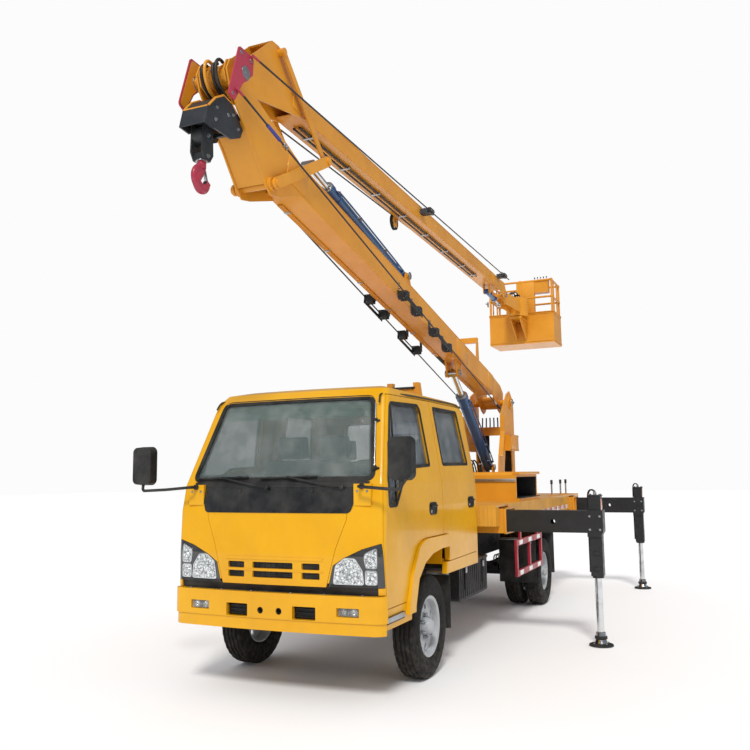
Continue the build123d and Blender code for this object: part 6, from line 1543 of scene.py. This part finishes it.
def basket_dressing():
    """Panel ribs, kick board, rail clamps, console with levers and covers, gate latch, floor mat."""
    panels = Shape("basket_panels", "basket", BOOM_YELLOW, RUBBER)
    for x, way in ((BASKET_FRONT, 1), (BASKET_BACK, -1)):
        for z in (3.73, 4.186):
            panels.block(at(x + way * 0.004, 0.0, z), (0.01, 2 * BASKET_HALF - 0.03, 0.026), bevel=0.004)
    for side in (-1, 1):
        for z in (3.73, 4.186):
            panels.block(at(-7.4, side * (BASKET_HALF + 0.004), z), (0.61, 0.01, 0.026), bevel=0.004)
        # short posts up the sides
        for x in (-7.53, -7.27):
            panels.drum(at(x, side * (BASKET_HALF - 0.02), SHEET_TOP - 0.01),
                        at(x, side * (BASKET_HALF - 0.02), 4.744), 0.012, sides=20)
    for x in (BASKET_FRONT - 0.004, BASKET_BACK + 0.004):
        panels.block(at(x - 0.006 if x < -7.5 else x + 0.006, 0.0, SHEET_TOP + 0.004), (0.04, 1.08, 0.012))
    for side in (-1, 1):
        panels.block(at(-7.4, side * (BASKET_HALF - 0.002), SHEET_TOP + 0.004), (0.62, 0.036, 0.012))
    panels.block(at(-7.4, 0.0, BASKET_FLOOR + 0.044), (0.58, 1.03, 0.008), look=1)
    for k in range(16):
        panels.block(at(-7.4, -0.48 + 0.064 * k, BASKET_FLOOR + 0.05), (0.56, 0.012, 0.005), look=1, bevel=0.001)
    panels.place(slot="boom_yellow")
    console = Shape("basket_console", "basket", PLASTIC, ZINC, BOOM_YELLOW, RED, HOSE)
    console.block(at(-7.18, 0.33, 4.746), (0.158, 0.268, 0.014), look=2, bevel=0.004)
    for k in range(5):
        y = 0.23 + 0.05 * k
        console.drum(at(-7.17, y, 4.752), at(-7.178, y, 4.8), 0.005, look=1, sides=12)
        console.lathe(at(-7.178, y, 4.796), (0, 0, 1), [(0.006, 0.0), (0.011, 0.006), (0.012, 0.014),
                                                        (0.008, 0.022), (0.0, 0.024)], look=3 if k == 2 else 0,
                      sides=20)
        console.block(at(-7.172, y, 4.755), (0.06, 0.016, 0.006), bevel=0.002)
    console.lathe(at(-7.23, 0.22, 4.753), (0, 0, 1), [(0.012, 0.0), (0.012, 0.012), (0.019, 0.014),
                                                      (0.019, 0.024), (0.0, 0.026)], look=3, sides=24)
    # tall cabinet of the controls beside the levers, with its seam and two catches
    for x, size, bevel in ((-7.13, (0.076, 0.3, 0.548), 0.006), (-7.169, (0.004, 0.272, 0.52), 0.001)):
        console.block(at(x, 0.082, 4.478), size, look=2, bevel=bevel)
    for z in (4.33, 4.62):
        console.block(at(-7.174, 0.2, z), (0.008, 0.02, 0.04), look=1, bevel=0.002)
    console.place(slot="black")
    latch = Shape("basket_fittings", "basket", ZINC, BOOM_YELLOW)
    for x in (BASKET_FRONT - 0.02, BASKET_BACK + 0.02):
        for y in (-0.52, 0.0, 0.52):
            for z in (SHEET_TOP + 0.26, RAIL_TOP - 0.017):
                latch.block(at(x, y, z), (0.042, 0.042, 0.042), look=1, bevel=0.006)
    latch.block(at(-7.13, -0.575, 4.42), (0.06, 0.014, 0.09))
    latch.drum(at(-7.13, -0.575, 4.42), at(-7.05, -0.59, 4.42), 0.008)
    # ring bolts for harnesses
    for y in (-0.26, 0.26):
        spot = at(BASKET_BACK + 0.02, y, RAIL_TOP - 0.09)
        latch.pipe([spot + Vector((0, a, b)) for a, b in spokes(10, 0.022)], 0.005, closed=True)
        latch.drum(spot + Vector((0, 0, 0.022)), spot + Vector((0, 0, 0.062)), 0.006)
    latch.place(slot="boom_yellow")
    swing = Shape("basket_swing_fittings", "basket_head", ZINC, BOOM_YELLOW, CHASSIS, HOSE)
    centre = at(SWING, 0, 4.395)
    swing.drum(centre, centre + Vector((0, 0, 0.016)), 0.15, look=1, bevel=0.004, sides=48)
    swing.bolt_ring(centre, (0, 0, 1), 12, 0.165, 0.015)
    swing.drum(centre + Vector((0, 0, 0.016)), centre + Vector((0, 0, 0.075)), 0.05, look=2, bevel=0.006)
    for y in (-0.026, 0.026):
        swing.pipe([centre + Vector((0.03, y, 0.06)), centre + Vector((0.12, y, 0.11)),
                    centre + Vector((0.5, y, -0.02)), at(-6.0, y, 4.3), at(-5.76, y, 4.27)], 0.01, look=3)
    swing.place(slot="boom_yellow")


def hose_reel():
    """The spoked guide wheel on the side of the upper boom near the elbow, with its hub and bracket."""
    wheel = Shape("hose_guide_wheel", "upper_boom", CHASSIS, BOOM_YELLOW, ZINC)
    x = -1.75
    centre = at(x, -0.122, upper_line(x, -0.05))
    wheel.lathe(centre - Vector((0, 0.014, 0)), (0, 1, 0), [(0.07, 0.0), (0.088, 0.0), (0.088, 0.004),
                                                            (0.078, 0.014), (0.088, 0.024), (0.088, 0.028),
                                                            (0.07, 0.028), (0.07, 0.0)], sides=40)
    for a, b in spokes(5, 0.072):
        wheel.drum(centre, centre + Vector((a, 0, b)), 0.008, sides=12)
    wheel.drum(centre - Vector((0, 0.018, 0)), centre + Vector((0, 0.024, 0)), 0.018, look=2)
    wheel.block(centre + Vector((0, 0.012, 0.01)), (0.11, 0.01, 0.13), look=1, bevel=0.004)
    wheel.place(slot="black")


# ================================================================ the truck
windscreen_trim()
front_garnish()
wipers()
aerial()
bumper_details()
drip_rails()
cab_steps()
mirror_details()
cab_inside()
wheel_dressing()
running_gear()
deck_dressing()
side_boxes()
cradle_dressing()
housing_dressing()
turret_dressing()
lower_boom_dressing()
sheave_dressing()
hook_dressing()
upper_boom_dressing()
rope_ends()
cylinder_dressing()
basket_dressing()
hose_reel()
for name, side in SIDES:
    headlamp(name, side)
    door_trim("front", FRONT_WINDOW, name, side)
    door_trim("rear", REAR_WINDOW, name, side)
for place, left_x, right_x in OUTRIGGERS:
    outrigger_dressing(place, "left", 1, left_x)
    outrigger_dressing(place, "right", -1, right_x)


# ================================================================ floor, light, camera
FLOOR_HALF = 60.0
floor_mesh = bmesh.new()
bmesh.ops.create_grid(floor_mesh, x_segments=1, y_segments=1, size=FLOOR_HALF)
floor_data = bpy.data.meshes.new("floor")
floor_mesh.to_mesh(floor_data)
floor_mesh.free()
floor = bpy.data.objects.new("floor", floor_data)
bpy.context.collection.objects.link(floor)
floor_finish = Finish("floor_white", Roughness=0.9, Base_Color=colour("F7F7F7"))
floor_data.materials.append(floor_finish.made)

# Seen directly, the sky is the pale backdrop; on the truck it is soft light from above.
world = bpy.data.worlds.new("studio")
bpy.context.scene.world = world
world.use_nodes = True
sky = world.node_tree
rays = add_node(sky, "ShaderNodeLightPath")
backdrop = add_node(sky, "ShaderNodeBackground", {"Color": colour("FCFCFC"), "Strength": 1.0})
ambient = add_node(sky, "ShaderNodeBackground", {"Color": colour("F6F7FB"), "Strength": 0.8})
mirrored = add_node(sky, "ShaderNodeBackground", {"Color": colour("D0D6DC"), "Strength": 0.42})
soft = add_node(sky, "ShaderNodeMixShader", {0: rays.outputs["Is Glossy Ray"]})
seen = add_node(sky, "ShaderNodeMixShader", {0: rays.outputs["Is Camera Ray"]})
sky.links.new(ambient.outputs["Background"], soft.inputs[1])
sky.links.new(mirrored.outputs["Background"], soft.inputs[2])
sky.links.new(soft.outputs["Shader"], seen.inputs[1])
sky.links.new(backdrop.outputs["Background"], seen.inputs[2])
sky.links.new(seen.outputs["Shader"], sky.nodes["World Output"].inputs["Surface"])


def sun(name, energy, direction, angle):
    lamp = bpy.data.lights.new(name, "SUN")
    lamp.energy = energy
    lamp.angle = math.radians(angle)
    lamp.color = colour("FFFDF8")[:3]
    lamp_object = bpy.data.objects.new(name, lamp)
    lamp_object.rotation_euler = Vector(direction).to_track_quat("-Z", "Y").to_euler()
    bpy.context.collection.objects.link(lamp_object)


sun("key_light", 2.0, (-0.75, -0.25, -0.8), 12)

# Camera: from ahead of the truck's front left corner, a little above its lamps.
CAMERA_PLACE = at(6.057, 3.017, 1.555)
CAMERA_YAW, CAMERA_PITCH, CAMERA_ROLL = (math.radians(a) for a in (203.437, 7.07, -0.71))
FOCAL_PIXELS, FRAME_PIXELS = 804.67, 750
camera = bpy.data.cameras.new("camera")
camera.sensor_width = 36.0
camera.lens = FOCAL_PIXELS / FRAME_PIXELS * camera.sensor_width
camera.clip_end = 200.0
camera_object = bpy.data.objects.new("camera", camera)
forward = Vector((math.cos(CAMERA_PITCH) * math.cos(CAMERA_YAW), math.cos(CAMERA_PITCH) * math.sin(CAMERA_YAW),
                  math.sin(CAMERA_PITCH)))
right = forward.cross(Vector((0, 0, 1))).normalized()
up = right.cross(forward)
rolled_right = right * math.cos(CAMERA_ROLL) + up * math.sin(CAMERA_ROLL)
rolled_up = -right * math.sin(CAMERA_ROLL) + up * math.cos(CAMERA_ROLL)
turn = Matrix((rolled_right, rolled_up, -forward)).transposed()
camera_object.matrix_world = Matrix.Translation(CAMERA_PLACE) @ turn.to_4x4()
bpy.context.collection.objects.link(camera_object)
bpy.context.scene.camera = camera_object
bpy.context.scene.view_settings.view_transform = "Standard"
